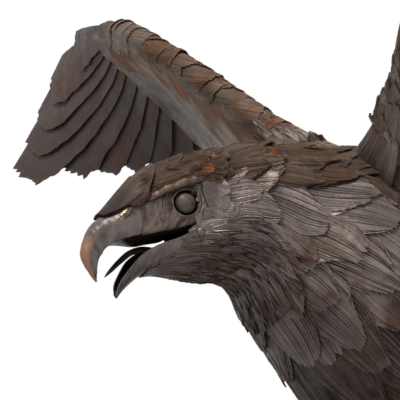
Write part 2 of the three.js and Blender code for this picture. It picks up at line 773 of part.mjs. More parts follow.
// Plates over the crown, each lapping the next, and a brow that shades each eye
const crownStops = [
  { at: 4.9, wide: 0.11, lift: 0 },
  { at: 5.6, wide: 0.17, lift: 0.3 },
  { at: 6.5, wide: 0.205, lift: 0.6 },
  { at: 6.56, wide: 0.2, lift: 0.1 },
  { at: 8.2, wide: 0.205, lift: 0.8 },
  { at: 8.26, wide: 0.2, lift: 0.3 },
  { at: 9.9, wide: 0.195, lift: 1 },
];
const crownSides = [-1, -0.68, -0.34, 0, 0.34, 0.68, 1];
const crown = sheetSolid(crownSides, crownStops, false, (side, stop, face) =>
  facePoint(stop.at, side * stop.wide, seatGap + crownRise * stop.lift + face * sheet),
);
const browStops = [6.6, 7.2, 7.8, 8.4, 9, 9.6];
const brow = sheetSolid(browStops, [0, 0.5, 1], false, (at, out, face) => {
  const share = (at - browStops[0]) / (browStops.at(-1) - browStops[0]);
  const reach = out * browHeight * Math.sin(Math.PI * (0.12 + 0.76 * share));
  return facePoint(at, mix(0.232, 0.212, share) + (face * jawSheet) / neckRib[4] / 6, seatGap + reach);
});

// Perch
const branchAxis = -standingHeight - branchRadius;
const roundBar = (points, radii, sides) => {
  const rings = points.map((p, i) => {
    const before = points[Math.max(i - 1, 0)];
    const after = points[Math.min(i + 1, points.length - 1)];
    const along = after.clone().sub(before).normalize();
    const side = vec(0, 1, 0).addScaledVector(along, -along.y).normalize();
    const other = along.clone().cross(side);
    return Array.from({ length: sides }, (_, j) => {
      const a = (j / sides) * 2 * Math.PI;
      return p
        .clone()
        .addScaledVector(side, radii[i] * Math.cos(a))
        .addScaledVector(other, radii[i] * Math.sin(a));
    });
  });
  return loft(rings);
};
const branchShares = [
  [-0.5, 0.84],
  [-0.42, 0.95],
  [-0.36, 1],
  [0.36, 1],
  [0.43, 0.96],
  [0.5, 0.88],
];
const branch = roundBar(
  branchShares.map(([x]) => vec(x * branchLength, birdSetback, branchAxis)),
  branchShares.map(([, r]) => r * branchRadius),
  18,
);
const branchCutter = roundBar(
  [-1, 1].map((x) => vec(x * branchLength, birdSetback, branchAxis)),
  [branchRadius + seatGap, branchRadius + seatGap],
  18,
);
const plateTop = branchAxis - trunkHeight;
const trunkShares = [
  [0, 1.5],
  [0.08, 1.22],
  [0.25, 1],
  [0.6, 0.86],
  [0.85, 0.84],
  [0.98, 0.8],
];
const trunk = cut(
  roundBar(
    trunkShares.map(([z]) => vec(0, birdSetback, mix(plateTop + seatGap, branchAxis, z))),
    trunkShares.map(([, r]) => r * trunkRadius),
    16,
  ),
  branchCutter,
);
const plate = new THREE.LatheGeometry(
  [
    [0, 0],
    [plateRadius - plateChamfer, 0],
    [plateRadius, plateChamfer],
    [plateRadius, plateThickness - plateChamfer],
    [plateRadius - plateChamfer, plateThickness],
    [0, plateThickness],
  ].map(([r, z]) => new THREE.Vector2(r, z)),
  24,
).rotateX(Math.PI / 2);

// Assembly
const pair = (name, geometry, finish) => {
  add(bird, "left_" + name, mirrored(geometry), finish);
  add(bird, "right_" + name, geometry, finish);
};
add(perch, "base_plate", plate, "perch");
add(bird, "perch_trunk", trunk, "perch");
add(bird, "perch_branch", branch, "perch");
add(bird, "spine_bar", spine(0), "armature");
wing.spar = cut(wing.spar, spine(seatGap));
for (const [name, geometry] of Object.entries(wing)) {
  pair("wing_" + name, geometry, name === "spar" ? "armature" : "plumage");
}
for (let n = 0; n < primaryCount; n++) pair("primary_" + (n + 1), primary(n), "plumage");
pair("leg", mirrored(leg), "armature");
pair("foot", mirrored(foot), "armature");
pair("thigh_feathers", mirrored(thigh), "plumage");
add(bird, "breast_shell", cut(breast, ...passages), "plumage");
add(bird, "torso_shell", cut(torso, ...passages), "plumage");
for (let k = 0; k < lastRib - 1; k++) {
  add(bird, "plumage_row_" + (k + 1), cut(row(k), ...passages), "plumage");
}
add(bird, "tail_fan", tail, "plumage");
add(bird, "skull", skull, "face");
add(bird, "crown_plate", crown, "face");
add(bird, "upper_beak", upperBeak, "beak");
add(bird, "lower_beak", lowerBeak, "beak");
add(bird, "tongue", tongue, "beak");
pair("eye", mirrored(eye), "face");
pair("brow", mirrored(brow), "face");

export default eagle;
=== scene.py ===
import math

import bpy
import numpy as np
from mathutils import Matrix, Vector


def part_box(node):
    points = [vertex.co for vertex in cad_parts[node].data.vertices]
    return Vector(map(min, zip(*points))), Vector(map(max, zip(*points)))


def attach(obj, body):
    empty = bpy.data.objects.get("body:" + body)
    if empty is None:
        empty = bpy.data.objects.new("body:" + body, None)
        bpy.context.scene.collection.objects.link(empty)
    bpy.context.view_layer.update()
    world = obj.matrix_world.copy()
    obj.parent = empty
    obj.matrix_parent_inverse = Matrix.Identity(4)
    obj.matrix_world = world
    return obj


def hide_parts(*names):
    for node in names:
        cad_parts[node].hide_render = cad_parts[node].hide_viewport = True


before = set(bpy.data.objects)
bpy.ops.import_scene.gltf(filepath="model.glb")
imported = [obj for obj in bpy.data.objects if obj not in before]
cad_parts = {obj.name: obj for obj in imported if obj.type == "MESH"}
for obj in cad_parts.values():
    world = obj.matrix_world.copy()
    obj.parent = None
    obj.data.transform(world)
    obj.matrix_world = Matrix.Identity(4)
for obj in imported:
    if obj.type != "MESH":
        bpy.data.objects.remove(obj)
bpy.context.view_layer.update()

# Base plate
# A round plate of mild steel, flame cut, its top edge ground to a bevel all round. It is blacked
# and oiled, and carries the trunk in its middle.
plate_low, plate_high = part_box("base_plate")
plate_radius = plate_high.x
plate_middle = 0.012
plate_bevel = 0.003
plate_sides = 144


def full_turn(count):
    return np.linspace(0, 2 * math.pi, count, endpoint=False)


def tube_faces(rows, columns):
    """Quads round a tube of points, and a face at each of its ends."""
    i, j = np.meshgrid(np.arange(rows - 1), np.arange(columns), indexing="ij")
    k = (j + 1) % columns
    quads = np.stack([i * columns + j, i * columns + k, (i + 1) * columns + k, (i + 1) * columns + j], -1)
    ring = np.arange(columns)[None]
    return [quads.reshape(-1, 4), ring[:, ::-1], ring + (rows - 1) * columns]


def sheet_faces(rows, columns):
    """Quads of a sheet with two faces and a rim: its first points are the lower face."""
    size = rows * columns
    i, j = np.meshgrid(np.arange(rows - 1), np.arange(columns - 1), indexing="ij")
    flat = (i * columns + j).reshape(-1, 1) + np.array([0, 1, columns + 1, columns])
    ring = np.concatenate([
        np.arange(columns), np.arange(2, rows + 1) * columns - 1,
        np.arange(size - 2, size - columns - 1, -1), np.arange(rows - 2, 0, -1) * columns,
    ])
    following = np.roll(ring, -1)
    rim = np.stack([ring, following, following + size, ring + size], -1)
    return [np.concatenate([flat + size, flat[:, ::-1], rim])]


def make_piece(
    name, grids, finish, sharp=38, marks=None, ruled=None, turned=False,
    mirror=False, replaces=None,
):
    """A mesh piece of the root body, from one grid of points or several: rings round a tube, or both
    faces of a sheet. marks are values for the finish, ruled is a map across and along each feather."""
    marks = marks or {}
    if isinstance(grids, np.ndarray):
        grids, ruled = [grids], None if ruled is None else [ruled]
        marks = {key: [values] for key, values in marks.items()}

    def spread(values, *size):
        return np.concatenate([
            np.broadcast_to(value, (*grid.shape[:-1], *size)).reshape(-1, *size)
            for value, grid in zip(values, grids)
        ]).astype(np.float32)

    points = spread(grids, 3)
    if mirror:
        points[:, 0] *= -1
    blocks, start = [], 0
    for grid in grids:
        faces = tube_faces(*grid.shape[:2]) if grid.ndim == 3 else sheet_faces(*grid.shape[1:3])
        blocks += [(block[:, ::-1] if turned != mirror else block) + start for block in faces]
        start += grid.size // 3
    corners = np.concatenate([block.ravel() for block in blocks]).astype(np.int32)
    sizes = np.concatenate([np.full(len(block), block.shape[1]) for block in blocks])
    mesh = bpy.data.meshes.new(name)
    mesh.vertices.add(len(points))
    mesh.vertices.foreach_set("co", points.ravel())
    mesh.loops.add(len(corners))
    mesh.loops.foreach_set("vertex_index", corners)
    mesh.polygons.add(len(sizes))
    mesh.polygons.foreach_set("loop_start", (np.cumsum(sizes) - sizes).astype(np.int32))
    mesh.update(calc_edges=True)
    mesh.polygons.foreach_set("use_smooth", np.ones(len(sizes), bool))
    mesh.set_sharp_from_angle(angle=math.radians(sharp))
    for key, values in marks.items():
        mesh.attributes.new(key, "FLOAT", "POINT").data.foreach_set("value", spread(values))
    if ruled is not None:
        mesh.uv_layers.new(name="Ruled").data.foreach_set("uv", spread(ruled, 2)[corners].ravel())
    mesh.validate()
    mesh.materials.append(finish)
    piece = bpy.data.objects.new(name, mesh)
    bpy.context.scene.collection.objects.link(piece)
    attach(piece, "root")
    if replaces:
        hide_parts(replaces)


def node(tree, kind, inputs=None, **settings):
    made = tree.nodes.new("ShaderNode" + kind)
    for key, value in settings.items():
        setattr(made, key, value)
    for key, value in (inputs or {}).items():
        if isinstance(value, bpy.types.NodeSocket):
            tree.links.new(value, made.inputs[key])
        else:
            made.inputs[key].default_value = value
    return made.outputs


def maths(tree, operation, *values, clamp=False):
    return node(tree, "Math", dict(enumerate(values)), operation=operation, use_clamp=clamp)["Value"]


def ramp(tree, value, low, high, first=0.0, last=1.0):
    ends = {"From Min": low, "From Max": high, "To Min": first, "To Max": last}
    return node(tree, "MapRange", {"Value": value, **ends})["Result"]


def noise(tree, place, scale, detail, roughness):
    settings = {"Scale": scale, "Detail": detail, "Roughness": roughness}
    return node(tree, "TexNoise", {"Vector": place, **settings})["Fac"]


def blend(tree, share, *colours):
    """Two colours mixed, each from a node or as three numbers."""
    first, second = ((*colour, 1) if isinstance(colour, tuple) else colour for colour in colours)
    return node(tree, "MixRGB", {"Fac": share, "Color1": first, "Color2": second})["Color"]


def steel(
    name, dark, light, rust=0.0, rough=0.5, metal=0.39, hammer=0.0, scored=0.0,
    stain=(0.105, 0.048, 0.024), bloom=(0.30, 0.105, 0.035),
):
    """Patinated steel: two tones that drift over the metal, rust where a piece is marked for it, rubbed
    edges that are also a painted highlight, a near-black painted shade where a piece is marked with
    shade, hammer marks, and lines scored along each feather."""
    finish = bpy.data.materials.new(name)
    finish.use_nodes = True
    tree = finish.node_tree
    place = node(tree, "TexCoord")["Object"]
    tone, brown, edge, shade = (
        node(tree, "Attribute", attribute_name=mark)["Fac"] for mark in ("tone", "rust", "edge", "shade")
    )
    fine = noise(tree, place, 190.0, 4.0, 0.7)
    drift = ramp(tree, noise(tree, place, 16.0, 5.0, 0.62), 0.32, 0.68)
    mottle = maths(tree, "MULTIPLY_ADD", drift, 0.55, tone)
    mottle = maths(tree, "MULTIPLY_ADD", fine, 0.36, mottle)
    mottle = maths(tree, "SUBTRACT", mottle, 0.2, clamp=True)
    colour = blend(tree, mottle, dark, light)
    height = fine
    if hammer:
        dents = node(
            tree, "TexVoronoi", {"Vector": place, "Scale": 380.0, "Smoothness": 0.8}, feature="SMOOTH_F1"
        )["Distance"]
        height = maths(tree, "MULTIPLY_ADD", dents, hammer, fine)
        pits = maths(tree, "MULTIPLY", ramp(tree, dents, 0.12, 0.55), 0.35)
        colour = blend(tree, pits, colour, light)
    if scored:
        ruled = node(tree, "SeparateXYZ", {"Vector": node(tree, "UVMap", uv_map="Ruled")["UV"]})
        across, along = maths(tree, "MULTIPLY", ruled["X"], 620.0), maths(tree, "MULTIPLY", ruled["Y"], 26.0)
        flat = node(tree, "CombineXYZ", {"X": across, "Y": along, "Z": tone})["Vector"]
        lines = noise(tree, flat, 1.0, 3.0, 0.6)
        height = maths(tree, "MULTIPLY_ADD", lines, scored * 3, height)
        worn = maths(tree, "MULTIPLY", ramp(tree, lines, 0.38, 0.66), mottle)
        worn = maths(tree, "MULTIPLY", worn, 0.85 * scored)
        colour = blend(tree, worn, colour, tuple(min(part * 1.7, 1) for part in light))
    brown = maths(tree, "ADD", brown, rust)
    brown = maths(tree, "MULTIPLY_ADD", brown, 0.34, noise(tree, place, 34.0, 6.0, 0.66))
    stained = maths(tree, "MULTIPLY", ramp(tree, brown, 0.55, 0.86), 0.85)
    colour = blend(tree, stained, colour, stain)
    colour = blend(tree, maths(tree, "MULTIPLY", ramp(tree, brown, 0.84, 1.0), 0.8), colour, bloom)
    # rims painted lighter: rubbed edges, and a painted highlight where they catch the light
    edge = maths(tree, "MULTIPLY", edge, fine, clamp=True)
    colour = blend(tree, edge, colour, (0.18, 0.15, 0.134))
    # painted shade: pieces marked with shade go toward black
    shade = maths(tree, "MULTIPLY", shade, 0.6, clamp=True)
    colour = blend(tree, shade, colour, (0.008, 0.006, 0.005))
    gloss = ramp(tree, fine, 0.3, 0.7, rough - 0.1, rough + 0.12)
    gloss = maths(tree, "MULTIPLY_ADD", stained, 0.25, gloss, clamp=True)
    gloss = maths(tree, "MULTIPLY_ADD", edge, 0.3, gloss, clamp=True)
    bare = maths(tree, "MULTIPLY", mottle, 1.5 * metal, clamp=True)
    bump = node(tree, "Bump", {"Height": height, "Strength": 0.45, "Distance": 0.0009})["Normal"]
    shader = tree.nodes["Principled BSDF"].inputs
    for key, value in (("Base Color", colour), ("Roughness", gloss), ("Metallic", bare), ("Normal", bump)):
        tree.links.new(value, shader[key])
    shader["Specular IOR Level"].default_value = 0.09
    return finish


plate_profile = (
    (plate_middle, plate_low.z),
    (plate_radius - plate_bevel, plate_low.z),
    (plate_radius, plate_low.z + plate_bevel),
    (plate_radius, plate_high.z - plate_bevel),
    (plate_radius - plate_bevel, plate_high.z),
    (0.6 * plate_radius, plate_high.z),
    (plate_middle, plate_high.z),
)
plate = np.array([
    [(r * math.cos(turn), r * math.sin(turn), z) for turn in full_turn(plate_sides)] for r, z in plate_profile
])
perch_steel = steel("perch_steel", (0.018, 0.014, 0.012), (0.085, 0.07, 0.06), rust=0.25, hammer=0.7)
make_piece("round_base_plate", plate, perch_steel, sharp=25, replaces="base_plate")

# Trunk and branch of the perch
# The trunk is a thick bar drawn out at its foot and forged with a furrowed bark. The branch lies
# across its top and is welded to it, its ends rounded over with the hammer.
trunk_low, trunk_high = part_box("perch_trunk")
branch_low, branch_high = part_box("perch_branch")
branch_radius = (branch_high.z - branch_low.z) / 2
branch_axis = (branch_high.z + branch_low.z) / 2
branch_half = branch_high.x
bark_depth = 0.0026
bark_steps, bark_sides = 150, 180


def xyz(x, y, z):
    """Points from three measures, each spread to the shape that all of them share."""
    return np.stack(np.broadcast_arrays(x, y, z), -1)


def bark(turns, run, seed):
    """How deep the bark is cut at each place, from 0 to 1: furrows that wander along the bar."""
    depth = np.zeros_like(turns)
    for wave, (count, pitch) in enumerate(((7, 9.0), (12, -14.0), (19, 23.0))):
        phase = seed + wave * 2.1
        drift = 0.5 * np.sin(run * pitch + phase) + 0.3 * np.sin(run * pitch * 2.7 + 2 * phase)
        depth += np.abs(np.sin(count * turns / 2 + drift * 2 + phase)) ** 0.6 / (wave + 1.5)
    return 1 - depth / 1.55


def barked_bar(name, axis, radii, run, seed, first, second, replaces):
    turn, along = np.meshgrid(full_turn(bark_sides), run)
    cut = bark(turn, along, seed)
    radius = (radii[:, None] - bark_depth * np.clip(cut, 0, 1))[..., None]
    points = axis[:, None] + radius * (np.cos(turn)[..., None] * first + np.sin(turn)[..., None] * second)
    make_piece(
        name, points, perch_steel, sharp=50,
        marks={"shade": np.clip(cut * 0.9, 0, 1), "tone": 0.15}, replaces=replaces,
    )


trunk_run = np.linspace(0, branch_axis - branch_radius * 0.45 - trunk_low.z, bark_steps)
trunk_radii = trunk_high.x / 1.5 * np.interp(
    trunk_run / (branch_axis - trunk_low.z),
    (0, 0.04, 0.1, 0.25, 0.6, 0.85, 1), (1.48, 1.32, 1.17, 1.0, 0.86, 0.83, 0.8),
)
barked_bar(
    "forged_trunk", xyz(0, 0, trunk_low.z + trunk_run), trunk_radii, trunk_run, 0.4, (1, 0, 0), (0, 1, 0),
    "perch_trunk",
)
branch_run = branch_half * np.sin(np.linspace(-math.pi / 2, math.pi / 2, bark_steps))
branch_radii = branch_radius * np.interp(
    1 - np.abs(branch_run) / branch_half, (0, 0.01, 0.03, 0.08, 0.28), (0.6, 0.76, 0.86, 0.94, 1.0)
)
barked_bar(
    "forged_branch", xyz(branch_run, 0, branch_axis), branch_radii, branch_run, 1.7, (0, 1, 0), (0, 0, 1),
    "perch_branch",
)

# Armature
# A round bar runs from the skull to the tail as a spine. Flat bars for the wings and round bars for
# the legs are welded to it. All of it is black bar, seen only in the gaps of the plumage.
bar_steel = steel("bar_steel", (0.012, 0.01, 0.009), (0.06, 0.05, 0.044), rust=0.3, rough=0.55)


def dress(name, finish):
    """Gives a piece that keeps its plain form the finish of the rest."""
    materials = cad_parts[name].data.materials
    materials.clear()
    materials.append(finish)


for bar in ("spine_bar", "left_wing_spar", "right_wing_spar", "left_leg", "right_leg"):
    dress(bar, bar_steel)

# Torso
# A shell of thick sheet over ribs, which follows the bird's body from the nape to the tail. The
# feathers are welded to it, so that it shows only as darkness between them.
dress("torso_shell", bar_steel)
dress("breast_shell", bar_steel)
bird_origin = np.array([0, -0.190, 0.659])
head_length = 0.125
body_length = 0.400
# each rib: its top and its lowest place, back and up, and half its width
neck_rib_shares = (-0.032, 0.25, 0, -0.424, 0.252)
body_rib_shares = (
    (0.078, 0.106, 0.043, -0.13, 0.095),
    (0.146, 0.109, 0.087, -0.153, 0.113),
    (0.232, 0.112, 0.118, -0.21, 0.14),
    (0.333, 0.109, 0.166, -0.268, 0.175),
    (0.437, 0.069, 0.235, -0.348, 0.205),
    (0.554, 0.004, 0.331, -0.433, 0.223),
    (0.704, -0.106, 0.504, -0.524, 0.215),
    (0.848, -0.236, 0.695, -0.569, 0.17),
    (0.965, -0.364, 0.88, -0.568, 0.11),
    (1.045, -0.438, 1.01, -0.562, 0.075),
)
body_ribs = np.vstack([np.array(neck_rib_shares) * head_length, np.array(body_rib_shares) * body_length])


def unit(vectors):
    return vectors / np.linalg.norm(vectors, axis=-1, keepdims=True)


def smooth_rows(table, at):
    """Rows of a table read between its rows, on a smooth curve."""
    last = len(table) - 1
    i = np.clip(np.floor(at), 0, last - 1).astype(int)
    t = (at - i)[..., None]
    start, end = table[i], table[i + 1]
    before = np.where((i == 0)[..., None], 2 * start - end, table[np.maximum(i - 1, 0)])
    after = np.where((i + 2 > last)[..., None], 2 * end - start, table[np.minimum(i + 2, last)])
    bend = 2 * before - 5 * start + 4 * end - after + t * (3 * (start - end) + after - before)
    return start + 0.5 * t * (end - before + t * bend)


def rib_point(table, at, turn, lift, belly=1.0):
    """A place on a body of ribs: turn 0 is the back and grows by the left side, lift is outward."""
    top_y, top_z, low_y, low_z, half = np.moveaxis(smooth_rows(table, at), -1, 0)
    up = xyz(0, top_y - low_y, top_z - low_z)
    tall = np.linalg.norm(up, axis=-1)
    up = up / tall[..., None]
    sine, cosine = np.sin(turn * 2 * math.pi), np.cos(turn * 2 * math.pi)
    power = np.where(cosine < 0, belly, 1.0)
    across, high = np.sign(sine) * np.abs(sine) ** power, np.sign(cosine) * np.abs(cosine) ** power
    outward = up * (2 * high / tall)[..., None]
    outward[..., 0] += across / half
    middle = xyz(across * half, (top_y + low_y) / 2, (top_z + low_z) / 2)
    return (
        bird_origin + middle + up * (tall / 2 * high)[..., None]
        + unit(outward) * np.expand_dims(lift, -1)
    )


def body_surface(at, turn, lift):
    return rib_point(body_ribs, at, turn, lift)


# Feathers of the body
# Each feather is cut from 1 mm sheet with shears, scored along its length with a blunt chisel for
# the barbs, dished over a bag, and welded by its root under the row ahead of it.
feather_sheet = 0.001
barb_pitch = 0.0017
barb_depth = 0.0007


def smoothstep(low, high, value):
    share = np.clip((value - low) / (high - low), 0, 1)
    return share * share * (3 - 2 * share)


def wander(seed, count, size):
    """Even noise between -1 and 1 along a line: count knots drawn from the seed, read at size places."""
    knots = np.random.default_rng(seed).uniform(-1, 1, count)
    return np.interp(np.linspace(0, count - 1, size), np.arange(count), knots)


def both_faces(surface, at, across, low, high):
    """The lower and the upper face of a sheet, at two heights over a surface."""
    return np.stack([surface(at, across, lift) for lift in (low, high)])


def lay_feathers(
    name, surface, seats, finish, outline, rise, rows=13, seed=1, ragged=0.035, dish=0.0016, curl=0.001,
    groove=1.0, rust=None, rust_range=(0, 0), tone=0.3, root_lift=0.0006, barbs=None, root_shade=0.95,
    tip_edge=0.8, mirror=False, replaces=None,
):
    """Feathers of a group as one piece. seats holds a row for each: place along and across the surface,
    heading, length, width, and how high its root lies. The outline gives the half width, as a share,
    from root to tip, and how far the corners of the tip are cut back."""
    rng = np.random.default_rng(seed)
    count = len(seats)
    p0, q0, heading, length, width, high = (column[:, None, None] for column in np.array(seats, float).T)

    def draw(least, most, columns=1):
        return rng.uniform(least, most, (count, 1, columns))

    def dot(one, other):
        return (one * other).sum(-1)

    step = 1e-3
    here = surface(p0, q0, 0 * p0)
    along_p = (surface(p0 + step, q0, 0 * p0) - here) / step
    along_q = (surface(p0, q0 + step, 0 * p0) - here) / step
    pp, pq, qq = dot(along_p, along_p), dot(along_p, along_q), dot(along_q, along_q)
    ahead = unit(along_p)
    side = np.cross(unit(np.cross(along_p, along_q)), ahead)

    def measures(vector):
        """How far a step of one metre that way goes in the surface's two measures."""
        p, q = dot(vector, along_p), dot(vector, along_q)
        return (qq * p - pq * q) / (pp * qq - pq * pq), (pp * q - pq * p) / (pp * qq - pq * pq)

    cosine, sine = np.cos(heading)[..., None], np.sin(heading)[..., None]
    grow_p, grow_q = measures(cosine * ahead + sine * side)
    wide_p, wide_q = measures(cosine * side - sine * ahead)
    barbs = barbs or max(int(round(width.mean() / barb_pitch)), 3)
    columns = 2 * barbs + 1
    u = np.linspace(-1, 1, columns)[None, None, :]
    s = np.linspace(0, 1, rows)[None, :, None]
    half_share, tip_cut, tip_power = outline
    half = np.interp(s, np.linspace(0, 1, len(half_share)), half_share)
    left, right = np.moveaxis(
        [[wander(seed * 977 + 31 * n + k, 7, rows)[:, None] for k in (0, 1)] for n in range(count)], 1, 0
    )
    across = u * half * (1 + np.where(u < 0, left, right) * np.abs(u) * ragged * 1.6) * width / 2
    broad = np.stack([wander(seed * 331 + 17 * n, 6, columns) for n in range(count)])[:, None]
    torn = draw(-1, 1, columns)
    nick_at, nick_deep = draw(-0.7, 0.7), draw(0, 0.09)
    cut = (
        tip_cut * np.abs(u) ** tip_power + draw(-0.15, 0.15) * u
        + nick_deep * np.exp(-np.abs((u - nick_at) / 0.09)) + ragged * (broad + 0.4 * torn)
    )
    along = (s - s ** 2.6 * cut) * length
    depth = draw(0.25, 1.0, columns) * (np.arange(columns) % 2) * smoothstep(0.05, 0.25, s)
    lift = (
        root_lift + high + rise * s ** 1.15
        - dish * u * u * (0.4 + 0.6 * s)
        + draw(-0.6, 1.8) * curl * smoothstep(0.65, 1, s) ** 2
        + draw(-0.05, 0.05) * across * s
        - groove * barb_depth * depth
        + 0.0007 * left * u * s
    )
    points = both_faces(
        surface, p0 + grow_p * along + wide_p * across, q0 + grow_q * along + wide_q * across,
        lift - feather_sheet, lift,
    )
    tones = tone(here)[..., None] if callable(tone) else tone
    # painted light and shade on the barbs: ridges lighter and grooves darker, over a random tone
    tones = tones + draw(-0.13, 0.13)[..., None] + 0.40 * (0.4 - depth)[:, None]
    # rims painted lighter, partly as a painted highlight at the tip and along the sides
    rims = np.zeros((rows, columns))
    rims[-1] = tip_edge
    rims[:, 0] = rims[:, -1] = 0.3 * s[0, :, 0]
    rusts = (rust(here) if rust else 0) + draw(*rust_range)
    # painted shade: dark at the root, where the row ahead covers it, and in the grooves; the lower face is
    # painted dark too
    shades = np.maximum(root_shade * (1 - smoothstep(0.22, 0.6, s)), 0.95 * depth * groove)
    make_piece(
        name, list(points.swapaxes(0, 1)), finish, sharp=40, mirror=mirror, replaces=replaces,
        marks={
            "tone": tones, "edge": [rims] * count,
            "rust": rusts[..., None] * np.linspace(0.6, 1.1, rows)[:, None],
            "shade": np.maximum(shades[:, None], np.array([0.8, 0])[:, None, None]),
        },
        ruled=np.stack([across + 0.37 * np.arange(count)[:, None, None], along], -1),
    )


plumage_steel = steel(
    "plumage_steel", (0.0105, 0.0058, 0.0047), (0.185, 0.150, 0.134), rough=0.36, metal=0.42, scored=0.8,
    stain=(0.062, 0.030, 0.016), bloom=(0.24, 0.085, 0.028),
)
body_outline = ((0.66, 0.9, 1.0, 1.0, 0.97, 0.9, 0.76, 0.52), 0.13, 1.7)
body_rows = (
    # place along the ribs, feathers in the row, length and width of a feather
    (0.00, 14, 0.034, 0.0180),
    (0.42, 13, 0.041, 0.0215),
    (1.00, 13, 0.049, 0.0245),
    (1.70, 13, 0.056, 0.0275),
    (2.48, 14, 0.061, 0.0300),
    (3.30, 15, 0.064, 0.0320),
    (4.10, 17, 0.066, 0.0340),
    (4.88, 18, 0.068, 0.0355),
    (5.66, 19, 0.070, 0.0370),
    (6.42, 19, 0.070, 0.0365),
    (7.16, 17, 0.070, 0.0350),
    (7.90, 15, 0.066, 0.0330),
    (8.62, 12, 0.060, 0.0290),
)
# the nape is left free on this share of a turn to each side, in the first rows
nape_half = 0.15
nape_free = 6


def at_wing(back, height):
    return smoothstep(0.075, 0.14, back) * smoothstep(-0.035, 0, height)


def body_tone(here):
    """Painted light and shade: the plumage is lighter up the neck and toward the rear, and darker low
    down, at the front, at the throat and under the breast, as light from above leaves it. The patina is
    darker on top and at the roots of the wings.
    """
    _, back, height = np.moveaxis(here - bird_origin, -1, 0)
    shift = 0.042 * smoothstep(0.11, 0.16, back) - 0.018 * (1 - smoothstep(0.02, 0.10, back))
    # painted light: lighter higher up and toward the rear, darker low down and at the front
    worn = 0.74 * smoothstep(-0.14, -0.02, height + shift)
    return worn - 0.27 - 0.55 * smoothstep(0.002, 0.035, height) - 0.28 * at_wing(back, height)


def body_rust(here):
    """The back of the neck has gone brown, and so have the belly and the roots of the wings."""
    _, back, height = np.moveaxis(here - bird_origin, -1, 0)
    low = 0.4 * (1 - smoothstep(-0.13, -0.03, height))
    return 0.7 * smoothstep(0.008, 0.045, height) + low + 0.4 * at_wing(back, height)


for number, (at, count, length, width) in enumerate(body_rows):
    vary = np.random.default_rng(500 + number).uniform
    turns = (np.arange(count) + (number % 2) / 2) / count + vary(-0.1, 0.1, count) / count
    body_seats = np.stack([
        at + vary(-0.09, 0.09, count),
        turns,
        vary(-0.13, 0.13, count),
        length * vary(0.92, 1.1, count),
        width * 1.22 * vary(0.92, 1.08, count),
        0.0012 * (np.arange(count) % 2) + vary(0, 0.0006, count),
    ], -1)
    if number < nape_free:
        body_seats = body_seats[np.abs((turns + 0.5) % 1 - 0.5) > nape_half]
    lay_feathers(
        f"body_feathers_{number + 1}", body_surface, body_seats, plumage_steel, body_outline, rise=0.0054,
        seed=40 + number, rust=body_rust, rust_range=(-0.15, 0.55), tone=body_tone, curl=0.0012,
        groove=0.65 if number < 2 else 1.0, replaces=f"plumage_row_{number + 1}" if number < 9 else None,
    )

# Wings
# Each wing is built on its flat bar: quill by quill, nine primaries at the hand and ten secondaries
# on the arm, cut from sheet, folded along the quill, and left ragged at their ends by the shears.
arm_length, hand_length = 0.272, 0.140
quill_line = 0.015
spar_seat = 0.0029
primary_count, secondary_count = 9, 10
primary_length, secondary_length = 0.355, 0.225
primary_width, secondary_width = 0.061, 0.054
lead_share, trail_share = 0.36, 0.64
tip_angle, wrist_angle, body_angle = 11, 47, 92
tip_margin, last_quill = 0.004, 0.016
length_shares = [0.47, 0.76, 0.87, 0.96, 1.027, 0.82, 0.72, 0.635, 0.575, 0.535]
wing_steps = 160
wing_share = np.linspace(0, 3, wing_steps + 1)
wing_bend = np.clip((wing_share - 0.37) / 2.2, 0, 1.3)
wing_rise = np.radians(33.5 - 13.3 * wing_bend)
wing_sweep = np.radians(16 - 42 * wing_bend)
wing_along = xyz(
    -np.cos(wing_rise) * np.cos(wing_sweep), -np.cos(wing_rise) * np.sin(wing_sweep), np.sin(wing_rise)
)
wing_back = unit(np.array([0, 1.0, 0]) - wing_along[:, 1:2] * wing_along)
wing_up = np.cross(wing_back, wing_along)
wing_up *= np.sign(wing_up[:, 2:3])
wing_pitch = np.radians(np.interp(wing_share, [0, 1.1, 2.38], [60, 36, 90]))[:, None]
wing_chord = wing_back * np.cos(wing_pitch) - wing_up * np.sin(wing_pitch)
wing_normal = wing_up * np.cos(wing_pitch) + wing_back * np.sin(wing_pitch)
shoulder = np.array([-0.175, 0.3275, 0.15]) * body_length
wing_stride = 3 * arm_length / wing_steps / 2
wing_centre = shoulder + np.vstack([
    np.zeros(3), np.cumsum(wing_along[1:] + wing_along[:-1], axis=0) * wing_stride
])
wing_sides = (("right", False), ("left", True))


def wing_surface(out, back, lift):
    """A place on the right wing: out from the shoulder, back to the trailing edge, lift upward."""
    at = np.clip(out / (3 * arm_length), 0, 0.999) * wing_steps
    i = np.floor(at).astype(int)
    t = (at - i)[..., None]
    centre, chord, normal = (
        line[i] * (1 - t) + line[i + 1] * t for line in (wing_centre, wing_chord, wing_normal)
    )
    drop = 0.031 * (np.maximum(back, 0) / 0.2) ** 2
    return (
        bird_origin + centre + wing_along[i] * np.minimum(out, 0)[..., None]
        + chord * back[..., None] + normal * (lift - drop)[..., None]
    )


def quill_on(surface, root_p, root_q, angle):
    """Gives places on the blade of one long feather: along its quill, across it, and lift upward."""
    cosine, sine = math.cos(angle), math.sin(angle)

    def place(along, across, lift):
        return surface(root_p + along * cosine - across * sine, root_q + along * sine + across * cosine, lift)
    return place


